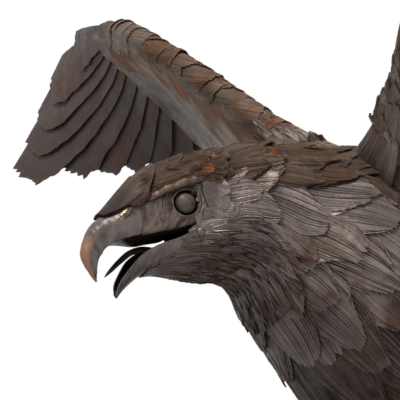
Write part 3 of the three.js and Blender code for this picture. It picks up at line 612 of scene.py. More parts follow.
def blade(
    place, width, length, tilt, lead, trail, seed, lift, root_share, tip=(0.02, 0.16), columns=27, rows=46,
):
    """Points, marks and map of one flight feather: a folded blade with a raised quill on both of its
    sides, ragged at the tip and along its trailing edge. lead and trail are the shares of its width
    ahead of the quill and behind it, tip how far its two corners are cut back."""
    s = np.linspace(0, 1, rows)[:, None]
    side = -lead + (lead + trail) * np.linspace(0, 1, columns)

    def uneven(step, count):
        return wander(seed + step, count, rows)[:, None]

    shape = np.interp(s, [0, 0.08, 0.3, 0.82, 1], [0, 0.05, 0.46, 1.0, 0.98])
    root = np.where(side > 0, root_share, 0.0) * (1 - smoothstep(0.1, 0.3, s))
    spread = 0.0026 + (width - 0.0026) * np.maximum(shape, root)
    worn = smoothstep(0.25, 0.6, s)
    frayed = np.where(side > 0, uneven(0, 14) * 0.05 + uneven(5, 44) * 0.03, uneven(9, 12) * 0.015)
    across = side * spread * (1 + frayed * worn)
    torn = wander(seed + 3, 9, columns) * 0.013 + wander(seed + 4, columns, columns) * 0.011
    cut = np.where(side > 0, tip[1] * (np.maximum(side, 0) / trail) ** 1.2, tip[0] * (side / lead) ** 2)
    along = length * s * (1 + (torn - cut) * smoothstep(0.6, 1, s))
    quill = 0.0013 * np.exp(-((across / 0.0021) ** 2)) * (1 - 0.8 * s)
    waves = 0.0009 * np.sin(s * 9 + seed) * side * worn + 0.0004 * uneven(7, 20) * worn
    middle = lift - math.tan(tilt) * across + waves
    barbs = np.abs(((along * 150 + np.abs(across) * 260 + seed * 0.37) % 1) * 2 - 1)
    barbs = barbs * smoothstep(0.2, 0.35, s)
    points = both_faces(
        place, along, across, middle - feather_sheet / 2 - quill * 0.5,
        middle + feather_sheet / 2 + quill - 0.00012 * barbs,
    )
    # rims painted lighter, partly as a painted highlight, and the root painted darker as painted shade
    rims = np.zeros((rows, columns))
    rims[-1] = 0.6
    rims[:, -1:] = 0.25 * s
    rims[:, :1] = 0.15 * s
    bright = 0.22 + np.random.default_rng(seed).uniform(-0.07, 0.07)
    marks = {
        "tone": bright + 0.09 * (uneven(30, 11) + wander(seed + 31, 6, columns)),
        "edge": rims, "shade": 0.3 * (1 - smoothstep(0.12, 0.5, s)),
        "rust": np.clip(0.22 + 0.45 * uneven(20, 7), 0, 1),
    }
    return points, marks, np.stack([along - 1.1 * np.abs(across), across], -1)


def blade_piece(name, blades, replaces, mirror=False):
    grids, marks, ruled = zip(*blades)
    marks = {key: [values[key] for values in marks] for key in marks[0]}
    make_piece(
        name, grids, blade_steel, sharp=50, marks=marks, ruled=ruled, turned=True, mirror=mirror,
        replaces=replaces,
    )


def flight_blade(feather, width, tilt, lead, seed, lift, root_share):
    """A flight feather, counted from the wing's tip: where its quill leaves the bar, its angle from the
    wing's line and its length follow from its number."""
    if feather <= primary_count:
        share = feather / primary_count
        out = arm_length + (hand_length - tip_margin) * (1 - share)
        angle = tip_angle + (wrist_angle - tip_angle) * share ** 0.75
        length = primary_length * np.interp(feather, range(10), length_shares)
    else:
        share = (feather - primary_count) / secondary_count
        out = arm_length + (last_quill - arm_length) * share
        angle = wrist_angle + (body_angle - wrist_angle) * share ** 0.8
        wrist = primary_length * length_shares[-1]
        length = wrist + (secondary_length - wrist) * min(share * 1.5, 1)
    place = quill_on(wing_surface, out, quill_line, math.radians(angle))
    return blade(place, width, length, math.radians(tilt), lead, trail_share, seed, lift, root_share)


blade_steel = steel("blade_steel", (0.025, 0.0165, 0.0152), (0.078, 0.058, 0.053), metal=0.35, scored=0.25)
blade_lift = spar_seat + 0.00065 + feather_sheet / 2
primaries = [
    flight_blade(
        number, primary_width, 9 - 2 * number / primary_count, lead_share if number else 0.1,
        70 + number, blade_lift, 0.55 * number / primary_count,
    )
    for number in range(primary_count)
]
secondaries = [
    flight_blade(
        primary_count + number + 0.25, secondary_width, 9, lead_share, 110 + number,
        blade_lift + 0.0006, 0.7,
    )
    for number in range(secondary_count)
]
for side, mirror in wing_sides:
    for number, primary in enumerate(primaries):
        blade_piece(
            f"{side}_primary_blade_{number + 1}", [primary], f"{side}_primary_{number + 1}", mirror
        )
    blade_piece(f"{side}_secondary_blades", secondaries, f"{side}_wing_secondaries", mirror)

# Wing coverts
# Under the wing a single sheet, hand torn along its edge, covers the quills behind the leading edge.
# It is bent to the wing's curve and welded along the bar. Its middle is painted pale, partly as smears
# and partly as a painted sheen, and its torn edge is painted lighter, partly as a painted highlight.
panel_outs = (0.0, 0.05, 0.12, 0.20, 0.26, 0.305, 0.315, 0.325, 0.345, 0.365, 0.39, 0.41, 0.424)
panel_backs = (0.150, 0.156, 0.160, 0.156, 0.146, 0.126, 0.108, 0.091, 0.070, 0.057, 0.045, 0.036, 0.020)
panel_rows, panel_columns = 60, 140
panel_grain = 0.9


def leading_edge(out):
    """How far back of the shoulder's line the front of the wing lies."""
    arm = np.clip(out / arm_length, 0, 1)
    hand = np.clip((out - arm_length) / hand_length, 0, 1)
    return -(0.012 + 0.013 * np.sin(math.pi / 2 * arm)) * (1 - hand ** 1.3) + quill_line * hand ** 1.3


def mottling(seed, rows, columns, spread):
    """An uneven field over a grid, its hollows and crests about as wide as the spread in grid steps."""
    field = np.random.default_rng(seed).normal(size=(rows, columns))
    for _ in range(spread):
        for way in (1, -1):
            field = (field + np.roll(field, way, 0) + np.roll(field, way, 1)) / 3
    return field / field.std()


panel_steel = steel(
    "panel_steel", (0.055, 0.043, 0.038), (0.185, 0.155, 0.142), rough=0.45, metal=0.28, scored=0.45
)
panel_run = np.linspace(0, 1, panel_rows)[:, None]
panel_out = np.linspace(0.424, 0.0, panel_columns)[None, :]
panel_torn = 0.0022 * wander(31, 60, panel_columns) + 0.0013 * wander(32, panel_columns, panel_columns)
panel_front = leading_edge(panel_out) + 0.004
panel_back = panel_front + panel_run * (
    np.interp(panel_out, panel_outs, panel_backs) + panel_torn - panel_front
)
panel_lap = ((panel_out * 21 + panel_back * 9) % 1) * 0.0016 * smoothstep(0.2, 0.5, panel_run)
panel_swell = 0.0008 * np.sin(panel_out * 55) * np.sin(panel_back * 42 + 1)
panel_low = -spar_seat - 0.001 - 0.005 * panel_run ** 1.4 - panel_lap + panel_swell
panel_points = both_faces(wing_surface, panel_out, panel_back, panel_low - feather_sheet, panel_low)
# the torn edge painted lighter, partly as a painted highlight
panel_rim = np.zeros((panel_rows, 1))
panel_rim[-3:] = [[1.2], [1.2], [1.8]]
panel_across = panel_out * math.cos(panel_grain) - panel_back * math.sin(panel_grain)
panel_along = panel_out * math.sin(panel_grain) + panel_back * math.cos(panel_grain)
smears = mottling(61, panel_rows, panel_columns, 9)
# pale patch in the middle: partly smears, partly a painted sheen
smear_and_sheen_patch = np.exp(-(((panel_out - 0.17) / 0.09) ** 2)) * smoothstep(0.3, 0.8, panel_run)
panel_marks = {
    "edge": panel_rim, "tone": 0.22 + (0.3 + 0.35 * smears) * smear_and_sheen_patch + 0.08 * smears,
    "rust": 0.9 * (1 - smoothstep(0.05, 0.5, panel_run)),
}
for side, mirror in wing_sides:
    make_piece(
        f"{side}_under_covert_panel", panel_points, panel_steel, sharp=45, marks=panel_marks,
        ruled=np.stack([panel_across * 0.6, panel_along * 0.5], -1), mirror=mirror,
        replaces=f"{side}_wing_under_coverts",
    )

# Leading edge of the wing
# A cap of sheet is bent round the front of the bar. Short scales are welded over it one after another
# from the wrist to the shoulder, and feathers of the body run up over its root. All have gone rusty.
cap_start, cap_end = -0.041, arm_length + 0.8 * hand_length
cap_length = cap_end - cap_start
cap_reach, cap_height = 0.0458, 0.012
cap_setback = 0.0405
cap_grid = (90, 61)
shoulder_swell, swell_length = 0.018, 0.105
end_round, end_drop = 0.032, 0.027
spar_width = 0.016
nose_bluntness = 1.8


def spar_front(out):
    hand = np.clip((out - arm_length) / hand_length, 0, 1)
    front = quill_line + (-0.85 + 0.55 * hand) * spar_width
    return np.where(out < 0, front, np.minimum(leading_edge(out) + spar_width / 2, front))


def cap_surface(inward, turn, lift):
    """The cap of the right wing: inward runs from the wrist to the shoulder, turn from under to over."""
    out = cap_end - inward
    swell = shoulder_swell * np.maximum(1 - (out - cap_start) / swell_length, 0) ** 2
    closing = np.clip((inward - (cap_length - end_round)) / end_round, 0, 1) ** 2
    grow = lift + swell - end_drop * closing * smoothstep(0.15, 1.0, turn)
    blunt = np.tanh(nose_bluntness * np.sin(turn)) / math.tanh(nose_bluntness)
    back = spar_front(out) + cap_setback - (cap_reach + grow) * np.cos(turn)
    return wing_surface(out, back, (cap_height + grow) * blunt)


cap_steel = steel(
    "cap_steel", (0.034, 0.021, 0.015), (0.15, 0.108, 0.078), rust=0.25, metal=0.32, scored=0.8
)
shoulder_steel = steel(
    "shoulder_steel", (0.030, 0.0222, 0.0185), (0.172, 0.138, 0.116), rust=0.05, rough=0.44, scored=0.8
)
cap_rust = (-0.1, 0.75)
cap_outline = ((0.9, 1.0, 1.0, 0.98, 0.92, 0.8), 0.16, 1.6)
# where a row of scales lies round the cap, how wide they are, and how high their roots lie
cap_rows = ((1.1, 0.030, 0), (0.72, 0.036, 0.0006), (-0.05, 0.050, 0.0010))
cap_pitch = 0.0245
scale_length = 0.056
root_length, root_width = 0.046, 0.023
core_run = np.linspace(-0.002, cap_length, cap_grid[0])[:, None]
core_low = np.interp(cap_end - core_run, (0.0, 0.27, 0.33, 0.45), (-2.35, -2.3, -1.7, -1.45))
core_turn = core_low + (math.pi / 2 - core_low) * np.linspace(0, 1, cap_grid[1])
core = both_faces(cap_surface, core_run, core_turn, -0.0026, -0.0016)
core_arc = -0.034 * core_turn
core_ruled = 0.6 * np.stack([0.45 * core_run - 0.9 * core_arc, 0.9 * core_run + 0.45 * core_arc], -1)
core_worn = smoothstep(-2.2, -0.7, core_turn) + 0.25 * mottling(51, *cap_grid, 8)
core_marks = {
    "tone": 0.55 - 0.2 * core_worn + 0.12 * mottling(52, *cap_grid, 3), "rust": 0.9 * core_worn - 0.1,
}
vary = np.random.default_rng(611).uniform
cap_seats = [
    (
        stop, turn + vary(-0.06, 0.06), -0.22 * np.sign(turn) + vary(-0.1, 0.1),
        scale_length * vary(0.92, 1.1), width * vary(0.92, 1.08), high - 0.0016,
    )
    for number, (turn, width, high) in enumerate(cap_rows)
    for stop in np.arange(-0.004, cap_length - 0.02, cap_pitch) + cap_pitch / 2 * (number % 2)
]
root_seats = [
    (
        cap_length - stop + vary(-0.003, 0.003), turn + vary(-0.04, 0.04),
        math.pi + 0.25 * turn + vary(-0.1, 0.1), root_length * vary(0.9, 1.1),
        root_width * vary(0.92, 1.1), 0.0016 - 0.004 * number / 6,
    )
    for number, stop in enumerate(np.linspace(0.0, 0.062, 6))
    for turn in np.arange(-1.25, 1.4, 0.36) + 0.18 * (number % 2)
]
for side, mirror in wing_sides:
    make_piece(
        f"{side}_edge_cap", core, cap_steel, marks=core_marks, ruled=core_ruled, mirror=mirror,
        replaces=f"{side}_wing_leading_edge",
    )
    lay_feathers(
        f"{side}_edge_scales", cap_surface, cap_seats, cap_steel, cap_outline, rise=0.0026, seed=9,
        rust_range=cap_rust, ragged=0.05, dish=0.0022, curl=0.0007, root_shade=0.5, groove=0.7, mirror=mirror,
    )
    lay_feathers(
        f"{side}_shoulder_feathers", cap_surface, root_seats, shoulder_steel, body_outline, rise=0.0018,
        seed=12, tone=1.0, rust_range=cap_rust, mirror=mirror,
    )

# Upper coverts
# Three rows of feathers lie over the quills on the upper side, the longest row first and the shortest
# last against the cap. Each is welded at its root and bent down on the row below.
covert_steel = steel(
    "covert_steel", (0.024, 0.0175, 0.0148), (0.135, 0.108, 0.094), rust=0.05, rough=0.46, scored=0.8
)
covert_outline = ((0.7, 0.92, 1.0, 1.0, 0.98, 0.9, 0.74, 0.5), 0.14, 1.8)
covert_rows = (
    # how far back the roots lie, feather's length and width, pitch along the wing, height of the roots
    (0.052, 0.088, 0.0300, 0.0200, 0.0058),
    (0.030, 0.062, 0.0270, 0.0185, 0.0082),
    (0.012, 0.046, 0.0240, 0.0165, 0.0106),
)


def back_surface(back, out, lift):
    return wing_surface(out, back, lift)


vary = np.random.default_rng(733).uniform
covert_seats = [
    (
        back + vary(-0.003, 0.003), out + vary(-0.1, 0.1) * pitch,
        -np.interp(out, [0, arm_length, 0.38], [0.05, 0.62, 1.05]),
        length * np.interp(out, [0, 0.15, 0.3, 0.38], [1.25, 1.1, 0.9, 0.55]) * vary(0.94, 1.08),
        width * vary(0.92, 1.08),
        high * (1 - 0.5 * smoothstep(0.28, 0.37, out)) + vary(0, 0.0008),
    )
    for back, length, width, pitch, high in covert_rows
    for out in np.arange(-0.02, 0.372, pitch)
]
for side, mirror in wing_sides:
    lay_feathers(
        f"{side}_upper_covert_feathers", back_surface, covert_seats, covert_steel, covert_outline,
        rise=0.0042, seed=21, rust_range=cap_rust, dish=0.0022, mirror=mirror,
        replaces=f"{side}_wing_upper_coverts",
    )

# Tail
# Twelve long feathers fan out from the end of the spine, cut and folded as the flight feathers are.
# They lap from the middle outward, and two rows of coverts are welded over their roots.
tail_root = bird_origin + np.array([0, 0.986, -0.4782]) * body_length
tail_length, tail_width = 0.2502, 0.043
tail_root_half = 0.011
tail_droop = tail_fan = math.radians(28)
tail_arch = 0.022
spine_radius = 0.008
tail_covert_rows = (
    # how far along the roots lie, feathers in the row, length, width, height of the roots
    (0.045, 8, 0.070, 0.026, 0.0062),
    (0.005, 5, 0.066, 0.026, 0.0090),
)


def tail_surface(along, across, lift):
    """A place on the fan: along the tail, across its middle line, both in metres, and lift upward."""
    side = across / (tail_root_half + along * math.tan(tail_fan))
    height = spine_radius + 0.0008 + lift - tail_arch * side * side * along / tail_length
    return tail_root + xyz(
        across,
        along * math.cos(tail_droop) + height * math.sin(tail_droop),
        -along * math.sin(tail_droop) + height * math.cos(tail_droop),
    )


def tail_blade(number):
    share = (number + 0.5) / 6
    return blade(
        quill_on(tail_surface, 0, share * tail_root_half, tail_fan * share * 0.93), tail_width,
        tail_length * (1 - 0.06 * share ** 2), math.copysign(math.radians(6.5), share), 0.5, 0.5,
        210 + number, 0.0066 * (1 - abs(share)) + 0.0006, 0.2, tip=(0.14, 0.14),
    )


blade_piece("tail_blades", [tail_blade(number) for number in range(-6, 6)], "tail_fan")
tail_seats = []
vary = np.random.default_rng(818).uniform
for along, count, length, width, high in tail_covert_rows:
    half = tail_root_half + along * math.tan(tail_fan)
    for share in (np.arange(count) + 0.5) / count * 2 - 1:
        tail_seats.append((
            along, share * half * 0.9, 0.46 * share, length * vary(0.92, 1.06), width,
            high + vary(0, 0.001),
        ))
lay_feathers(
    "tail_coverts", tail_surface, tail_seats, covert_steel, covert_outline, rise=0.002, seed=23,
    replaces="tail_fan",
)

# Thighs
# Each leg wears loose trousers of feathers, welded in rings to a cone of sheet that hangs from the
# body and closes on the bar above the foot.
foot_spread = 0.062
bird_setback = 0.190
standing_height = 0.425
ankle_height = 0.046
leg_stops = np.array([
    (0.004, 0.24, -0.052),
    (0.036, 0.24, -0.096),
    (0.060, 0.224, -0.200),
    (foot_spread, bird_setback, -standing_height + ankle_height * 2.4),
    (foot_spread, bird_setback, -standing_height + ankle_height),
])
thigh_top = 1.55
thigh_half_width, thigh_half_depth = 0.034, 0.046
leg_radius = 0.0084
thigh_rows = (
    # place down the leg, feathers in the ring, length and width of a feather
    (0.02, 11, 0.054, 0.026), (0.16, 11, 0.052, 0.025), (0.30, 11, 0.050, 0.023), (0.44, 10, 0.046, 0.021),
    (0.57, 9, 0.042, 0.018), (0.69, 8, 0.036, 0.0155), (0.79, 7, 0.030, 0.0135),
)
body_sides = (("left", False), ("right", True))


def thigh_surface(down, turn, lift):
    """Round the left leg: down runs from the body to the ankle, turn once round."""
    centre = smooth_rows(leg_stops, thigh_top + (4 - thigh_top) * np.clip(down, -0.2, 1))
    full = np.interp(
        down, [-0.2, 0, 0.2, 0.35, 0.55, 0.75, 0.9, 1], [1, 1, 0.96, 0.86, 0.6, 0.34, 0.14, 0.03]
    )
    angle = turn * 2 * math.pi
    x = np.cos(angle) * (leg_radius + (thigh_half_width - leg_radius) * full + lift)
    y = np.sin(angle) * (leg_radius + (thigh_half_depth - leg_radius) * full + lift)
    return bird_origin + centre + xyz(x, y, 0)


thigh_cone = thigh_surface(
    np.linspace(-0.05, 1, 24)[:, None], np.linspace(0, 1, 36, endpoint=False), -0.0012
)
vary = np.random.default_rng(905).uniform
thigh_seats = [
    (
        down + vary(-0.012, 0.012), (n + 0.5 * (number % 2) + vary(-0.1, 0.1)) / count,
        vary(-0.1, 0.1), length * vary(0.9, 1.1), width * vary(0.95, 1.1),
        0.0009 * (n % 2),
    )
    for number, (down, count, length, width) in enumerate(thigh_rows)
    for n in range(count)
]
for side, mirror in body_sides:
    make_piece(
        f"{side}_thigh_cone", thigh_cone, bar_steel, mirror=mirror, replaces=f"{side}_thigh_feathers"
    )
    lay_feathers(
        f"{side}_thigh_plumage", thigh_surface, thigh_seats, plumage_steel, body_outline, rise=0.0042,
        seed=33, tone=body_tone, mirror=mirror,
    )

# Feet
# Each foot is forged: three toes in front and one behind grip the branch. Cross plates are chased over
# each toe, pads swell below it, and a talon is drawn out and welded into its end.
branch_centre = bird_origin[2] - standing_height - branch_radius
toe_radius = 0.008
toe_spread = 26
toe_wrap, talon_wrap = 84, 40
toe_shares = (1.05, 0.95, 0.98, 0.84, 0.88, 0.74, 0.62, 0.4, 0.09)
toe_plates, ankle_plates = 26, 9
foot_steel = steel(
    "foot_steel", (0.030, 0.022, 0.018), (0.16, 0.128, 0.105), rust=0.1, rough=0.4, metal=0.42, hammer=0.25
)


def toe(heading, rows=120, columns=28):
    """Rings of a toe and its talon round the branch, with their tone and shade."""
    run = np.linspace(0, 1, rows)[:, None]
    across, ahead = math.sin(math.radians(heading)), math.cos(math.radians(heading))
    talon = smoothstep(0.66, 0.70, run)
    base = smooth_rows(np.array(toe_shares)[:, None], run[:, 0] * 8) * toe_radius
    collar = 0.0011 * np.exp(-(((run - 0.665) / 0.018) ** 2))
    stage = (run * toe_plates) % 1
    plate = stage * 0.0011 * (1 - talon)
    wrap = math.radians(toe_wrap + talon_wrap) * run
    far = branch_radius + 0.0004 + base
    sine, cosine = np.sin(wrap * ahead), np.cos(wrap * ahead)
    middle = xyz(foot_spread + across * far * wrap, -far * sine, branch_centre + far * cosine)
    forward = unit(np.gradient(middle, axis=0))
    sideways = unit(np.cross(forward, xyz(0, -sine, cosine)))
    outward = np.cross(sideways, forward)
    turns = full_turn(columns)
    top = smoothstep(0.1, 0.8, np.cos(turns))
    radius = base + collar + plate * top - 0.0006 * (stage > 0.9) * top * (1 - talon)
    radius = radius * (1 - 0.12 * talon * np.abs(np.sin(turns)))
    round_it = np.cos(turns)[:, None] * outward + np.sin(turns)[:, None] * sideways
    return middle + radius[..., None] * round_it, 0.45 - 0.3 * talon, 0.5 * (plate < 0.00012) * (1 - talon)


ankle_run = np.linspace(0, 1, 40)[:, None]
ankle_plate = (ankle_run * ankle_plates) % 1
ankle_radius = toe_radius * (1.75 - 0.62 * smoothstep(0, 0.75, ankle_run)) + 0.0009 * ankle_plate
ankle_turn = full_turn(40)
ankle = xyz(
    foot_spread + ankle_radius * np.cos(ankle_turn), ankle_radius * np.sin(ankle_turn),
    branch_centre + branch_radius + 0.004 + 0.042 * ankle_run,
)
foot_parts = [toe(heading) for heading in (-toe_spread, 0, toe_spread, 180)]
foot_parts.append((ankle, 0.4, 0.6 * (ankle_plate < 0.15)))
foot_grids, foot_tones, foot_shades = zip(*foot_parts)
for side, mirror in body_sides:
    make_piece(
        f"{side}_talon_foot", foot_grids, foot_steel, sharp=34,
        marks={"tone": foot_tones, "shade": foot_shades}, turned=True, mirror=mirror,
        replaces=f"{side}_foot",
    )

# Skull
# The head is raised from sheet in one hollow with the cheeks, hammered smooth, and pressed in round
# each eye. Its lower side is the roof of the mouth, painted black as painted shade, and the sockets of
# the eyes are painted dark as painted shade.
neck_back, neck_front = body_ribs[0][:2], body_ribs[0][2:4]
seat_gap = 0.0004


def on_neck(share):
    return [neck_back[0] * (1 - share) - seat_gap, neck_back[1] + (neck_front[1] - neck_back[1]) * share]


face_rib_shares = (
    (-0.672, -0.552, -0.66, -0.544, 0.012),
    (-0.728, -0.48, -0.664, -0.496, 0.034),
    (-0.77, -0.392, -0.66, -0.436, 0.05),
    (-0.75, -0.29, -0.63, -0.38, 0.07),
    (-0.708, -0.21, -0.592, -0.344, 0.094),
    (-0.624, -0.128, -0.528, -0.32, 0.131),
    (-0.496, 0.024, -0.432, -0.3, 0.168),
    (-0.4, 0.104, -0.344, -0.28, 0.196),
    (-0.304, 0.16, -0.264, -0.264, 0.216),
    (-0.192, 0.208, -0.152, -0.236, 0.248),
)
face_ribs = np.vstack([
    np.array(face_rib_shares) * head_length,
    [on_neck(-0.02) + on_neck(0.68) + [body_ribs[0][4] * 1.05]],
])
beak_root = 6
eye_socket = bird_origin + np.array([0.232, -0.2, -0.08]) * head_length
socket_radius, socket_lip = 0.0092, 0.0011
skull_grid = (180, 320)
face_steel = steel(
    "face_steel", (0.016, 0.0105, 0.0084), (0.158, 0.125, 0.106), rough=0.40, metal=0.42, hammer=0.25
)


def face_surface(at, turn, lift):
    return rib_point(face_ribs, at, turn, lift, belly=0.45)


skull_at = np.linspace(beak_root, 10, skull_grid[0])[:, None]
skull_turn = np.linspace(0, 1, skull_grid[1], endpoint=False)
skull_dents = mottling(12, *skull_grid, 3)
skull_patches = mottling(13, *skull_grid, 90)
near_eye = np.exp(-((((skull_at - 7.9) / 1.3) ** 2) + ((np.abs(skull_turn - 0.5) - 0.25) / 0.07) ** 2))
skull_lift = 0.00006 * skull_dents * (0.4 + 1.6 * near_eye) + 0.00008 * skull_patches
skull_points = face_surface(skull_at, skull_turn, skull_lift)
# painted shade in each eye socket
socket_painted_shade = np.zeros(skull_grid, bool)
for sign in (1, -1):
    reach = np.linalg.norm((skull_points - eye_socket)[..., 1:], axis=-1)
    outer = skull_points[..., 0] * sign
    floor_x = eye_socket[0] - np.sqrt(np.maximum(socket_radius ** 2 - reach ** 2, 0))
    facing = outer > 0.008
    lip = socket_lip * np.exp(-(((reach - socket_radius - 0.0008) / 0.0014) ** 2))
    moved = np.where(reach < socket_radius, np.minimum(outer, floor_x), outer + lip)
    skull_points[..., 0] = np.where(facing, moved * sign, skull_points[..., 0])
    socket_painted_shade |= (reach < socket_radius * 1.03) & facing
# painted shade on the roof of the mouth
mouth_roof = smoothstep(0.365, 0.385, np.minimum(skull_turn, 1 - skull_turn))
skull_tone = (
    0.36 + 0.34 * smoothstep(8.7, 9.3, skull_at) - 0.20 * near_eye
    + 0.25 * skull_patches + 0.18 * skull_dents * (0.5 + near_eye)
)
make_piece(
    "hammered_skull", skull_points, face_steel, sharp=60, turned=True, replaces="skull",
    marks={
        "shade": np.maximum(mouth_roof * 1.6, socket_painted_shade * 1.1), "tone": skull_tone,
        "rust": 0.15 * near_eye + 0.25 * mottling(14, *skull_grid, 90),
    },
)

# Upper beak
# Two halves of sheet are raised, welded along the ridge and dressed smooth. The hook is drawn out
# thick and ground, and the heat of the weld has left its outer half copper brown. A plate of thin
# sheet, sagging a little, closes the roof of the mouth. The inner face of the beak and the plate are
# painted black as painted shade inside the mouth, and the beak's rim is painted lighter, partly as a
# painted highlight.
jaw_sheet = 0.002
beak_steel = steel(
    "beak_steel", (0.024, 0.0175, 0.0150), (0.165, 0.138, 0.126), rough=0.36, metal=0.45, hammer=0.12,
    stain=(0.23, 0.14, 0.105), bloom=(0.31, 0.165, 0.105),
)
beak_grid = (110, 61)
# painted shade: the inner face of each beak is painted black
inner_painted_shade = np.array([1.6, 0])[:, None, None]
across_beak = np.linspace(-1, 1, beak_grid[1])
beak_at = np.linspace(0, beak_root, beak_grid[0])[:, None]
beak_edge = np.interp(beak_at, range(7), (0.44, 0.41, 0.38, 0.36, 0.355, 0.365, 0.375))
beak_wall = np.minimum(jaw_sheet, smooth_rows(face_ribs, beak_at)[..., 4] * 0.35)
beak_turn = across_beak * beak_edge
beak_dents = mottling(22, *beak_grid, 14)
hook_copper = (1 - smoothstep(2.0, 4.3, beak_at)) * (1 - smoothstep(0.17, 0.27, np.abs(beak_turn)))
make_piece(
    "upper_mandible",
    both_faces(face_surface, beak_at, beak_turn, -beak_wall - 0.0006, 0.00014 * beak_dents - 0.0006),
    beak_steel, sharp=50, replaces="upper_beak",
    marks={
        "rust": hook_copper * 1.9 - 0.35, "edge": 0.25 * (np.abs(across_beak) == 1), "shade": inner_painted_shade,
        "tone": 0.5 + 0.13 * beak_dents,
    },
)
palate_sag = 0.0066
palate_sheet = 0.0008
palate_front, palate_rear = 4.1, 9.0
palate_at = np.linspace(palate_front, palate_rear, 50)[:, None]
palate_across = np.linspace(-1, 1, 25)
palate_edge = np.interp(palate_at, (palate_front, 5, 6, palate_rear), (0.352, 0.352, 0.362, 0.362))
palate_right, palate_left = (face_surface(palate_at, sign * palate_edge, -0.0008) for sign in (-1, 1))
palate_share = ((palate_across + 1) / 2)[:, None]
palate_low = palate_sag * (1 - palate_across ** 2) * smoothstep(4.3, 6.4, palate_at)
palate_low = palate_low * (1 - smoothstep(8.0, palate_rear, palate_at))
palate = palate_right * (1 - palate_share) + palate_left * palate_share
palate = np.stack([palate - xyz(0, 0, palate_low + face * palate_sheet) for face in (0, 1)])
# painted shade: the plate is painted black
make_piece("palate_shade_sheet", palate, beak_steel, marks={"shade": 1.6})

# Lower beak
# A trough of sheet, its rim dressed thin, hangs from the back of the head and is drawn to a blunt point.
# Its inner face is painted black as painted shade, and its rim is painted lighter, partly as a painted
# highlight.
jaw_rib_shares = (
    (-0.112, -0.224, -0.096, -0.476, 0.228),
    (-0.224, -0.28, -0.208, -0.476, 0.192),
    (-0.344, -0.328, -0.32, -0.476, 0.158),
    (-0.432, -0.392, -0.392, -0.492, 0.122),
    (-0.496, -0.48, -0.456, -0.544, 0.084),
    (-0.536, -0.552, -0.504, -0.592, 0.054),
    (-0.548, -0.616, -0.536, -0.636, 0.02),
)
jaw_ribs = np.vstack([
    [on_neck(0.7) + on_neck(1.03) + [body_ribs[0][4] * 0.98]], np.array(jaw_rib_shares) * head_length
])


def jaw_surface(at, across, lift):
    """A place on the lower beak: at runs from its root to its tip, across from rim to rim."""
    rim_y, rim_z, low_y, low_z, half = np.moveaxis(smooth_rows(jaw_ribs, at), -1, 0)
    down = xyz(0, low_y - rim_y, low_z - rim_z)
    depth = np.linalg.norm(down, axis=-1)[..., None]
    down = down / depth
    sine, cosine = np.sin(across * math.pi / 2), np.cos(across * math.pi / 2)
    outward = down * cosine[..., None] / depth
    outward[..., 0] += sine / half
    middle = xyz(sine * half, rim_y, rim_z)
    return (
        bird_origin + middle + down * depth * cosine[..., None] + unit(outward) * np.expand_dims(lift, -1)
    )


jaw_at = np.linspace(0, 7, beak_grid[0])[:, None]
jaw_wall = np.minimum(jaw_sheet, smooth_rows(jaw_ribs, jaw_at)[..., 4] * 0.35)
make_piece(
    "lower_mandible", both_faces(jaw_surface, jaw_at, across_beak, -jaw_wall, 0), beak_steel,
    sharp=50, turned=True, replaces="lower_beak",
    marks={
        "rust": 0.35 * smoothstep(5, 7, jaw_at), "edge": 0.5 * (np.abs(across_beak) == 1),
        "shade": inner_painted_shade, "tone": 0.26 + 0.14 * mottling(23, *beak_grid, 12),
    },
)

# Tongue
# A strip of sheet, hollowed along its middle, is bent up from the floor of the mouth and left black.
tongue_shares = (
    (-0.26, -0.345), (-0.37, -0.328), (-0.46, -0.358), (-0.53, -0.418), (-0.585, -0.478), (-0.615, -0.515),
)
tongue_radius = 0.0036
tongue_root = (jaw_surface(np.array(1.0), np.array(0.0), -0.0064) - bird_origin)[1:]
tongue_line = np.vstack([[tongue_root], np.array(tongue_shares) * head_length])
tongue_steps = np.linspace(0, 6, 70)
tongue_middle = smooth_rows(tongue_line, tongue_steps)
tongue_ahead = unit(np.gradient(tongue_middle, axis=0))
tongue_width = np.interp(tongue_steps, range(7), (1.1, 1.15, 1.1, 1.0, 0.85, 0.6, 0.15))
tongue_half = tongue_radius * tongue_width[:, None]
tongue_turn = full_turn(28)
tongue_high = tongue_half * (0.45 * np.sin(tongue_turn) - 0.35 * np.cos(tongue_turn * 2) - 0.35)
tongue_points = bird_origin + xyz(
    tongue_half * np.cos(tongue_turn),
    tongue_middle[:, :1] + tongue_ahead[:, 1:] * tongue_high,
    tongue_middle[:, 1:] - tongue_ahead[:, :1] * tongue_high,
)
# its two rims are painted lighter, partly as a painted highlight
make_piece(
    "strip_tongue", tongue_points, bar_steel, sharp=50, replaces="tongue",
    marks={"edge": 0.35 * (np.abs(np.sin(tongue_turn)) < 0.25)},
)

# Eyes
# Each eye is a forged ball, turned with a faint ring for the iris and set deep in its socket. The part
# of the ball inside the socket is painted dark as painted shade.
eye_radius = 0.0082
eye_setting = np.array([-0.0030, 0.0005, 0.0002])
eye_tilt = np.linspace(0.02, math.pi - 0.02, 48)[:, None]
eye_turn = full_turn(64)
iris = smoothstep(0.60, 0.66, eye_tilt) * 0.00022
eye_ball = (eye_radius - 0.0002 + iris)[..., None] * xyz(
    np.cos(eye_tilt), np.sin(eye_tilt) * np.cos(eye_turn), np.sin(eye_tilt) * np.sin(eye_turn)
)
for side, mirror in body_sides:
    make_piece(
        f"{side}_eye_ball", eye_ball + (eye_socket + eye_setting), face_steel, turned=True,
        mirror=mirror, marks={"tone": 0.2, "shade": smoothstep(0.9, 1.5, eye_tilt)}, replaces=f"{side}_eye",
    )
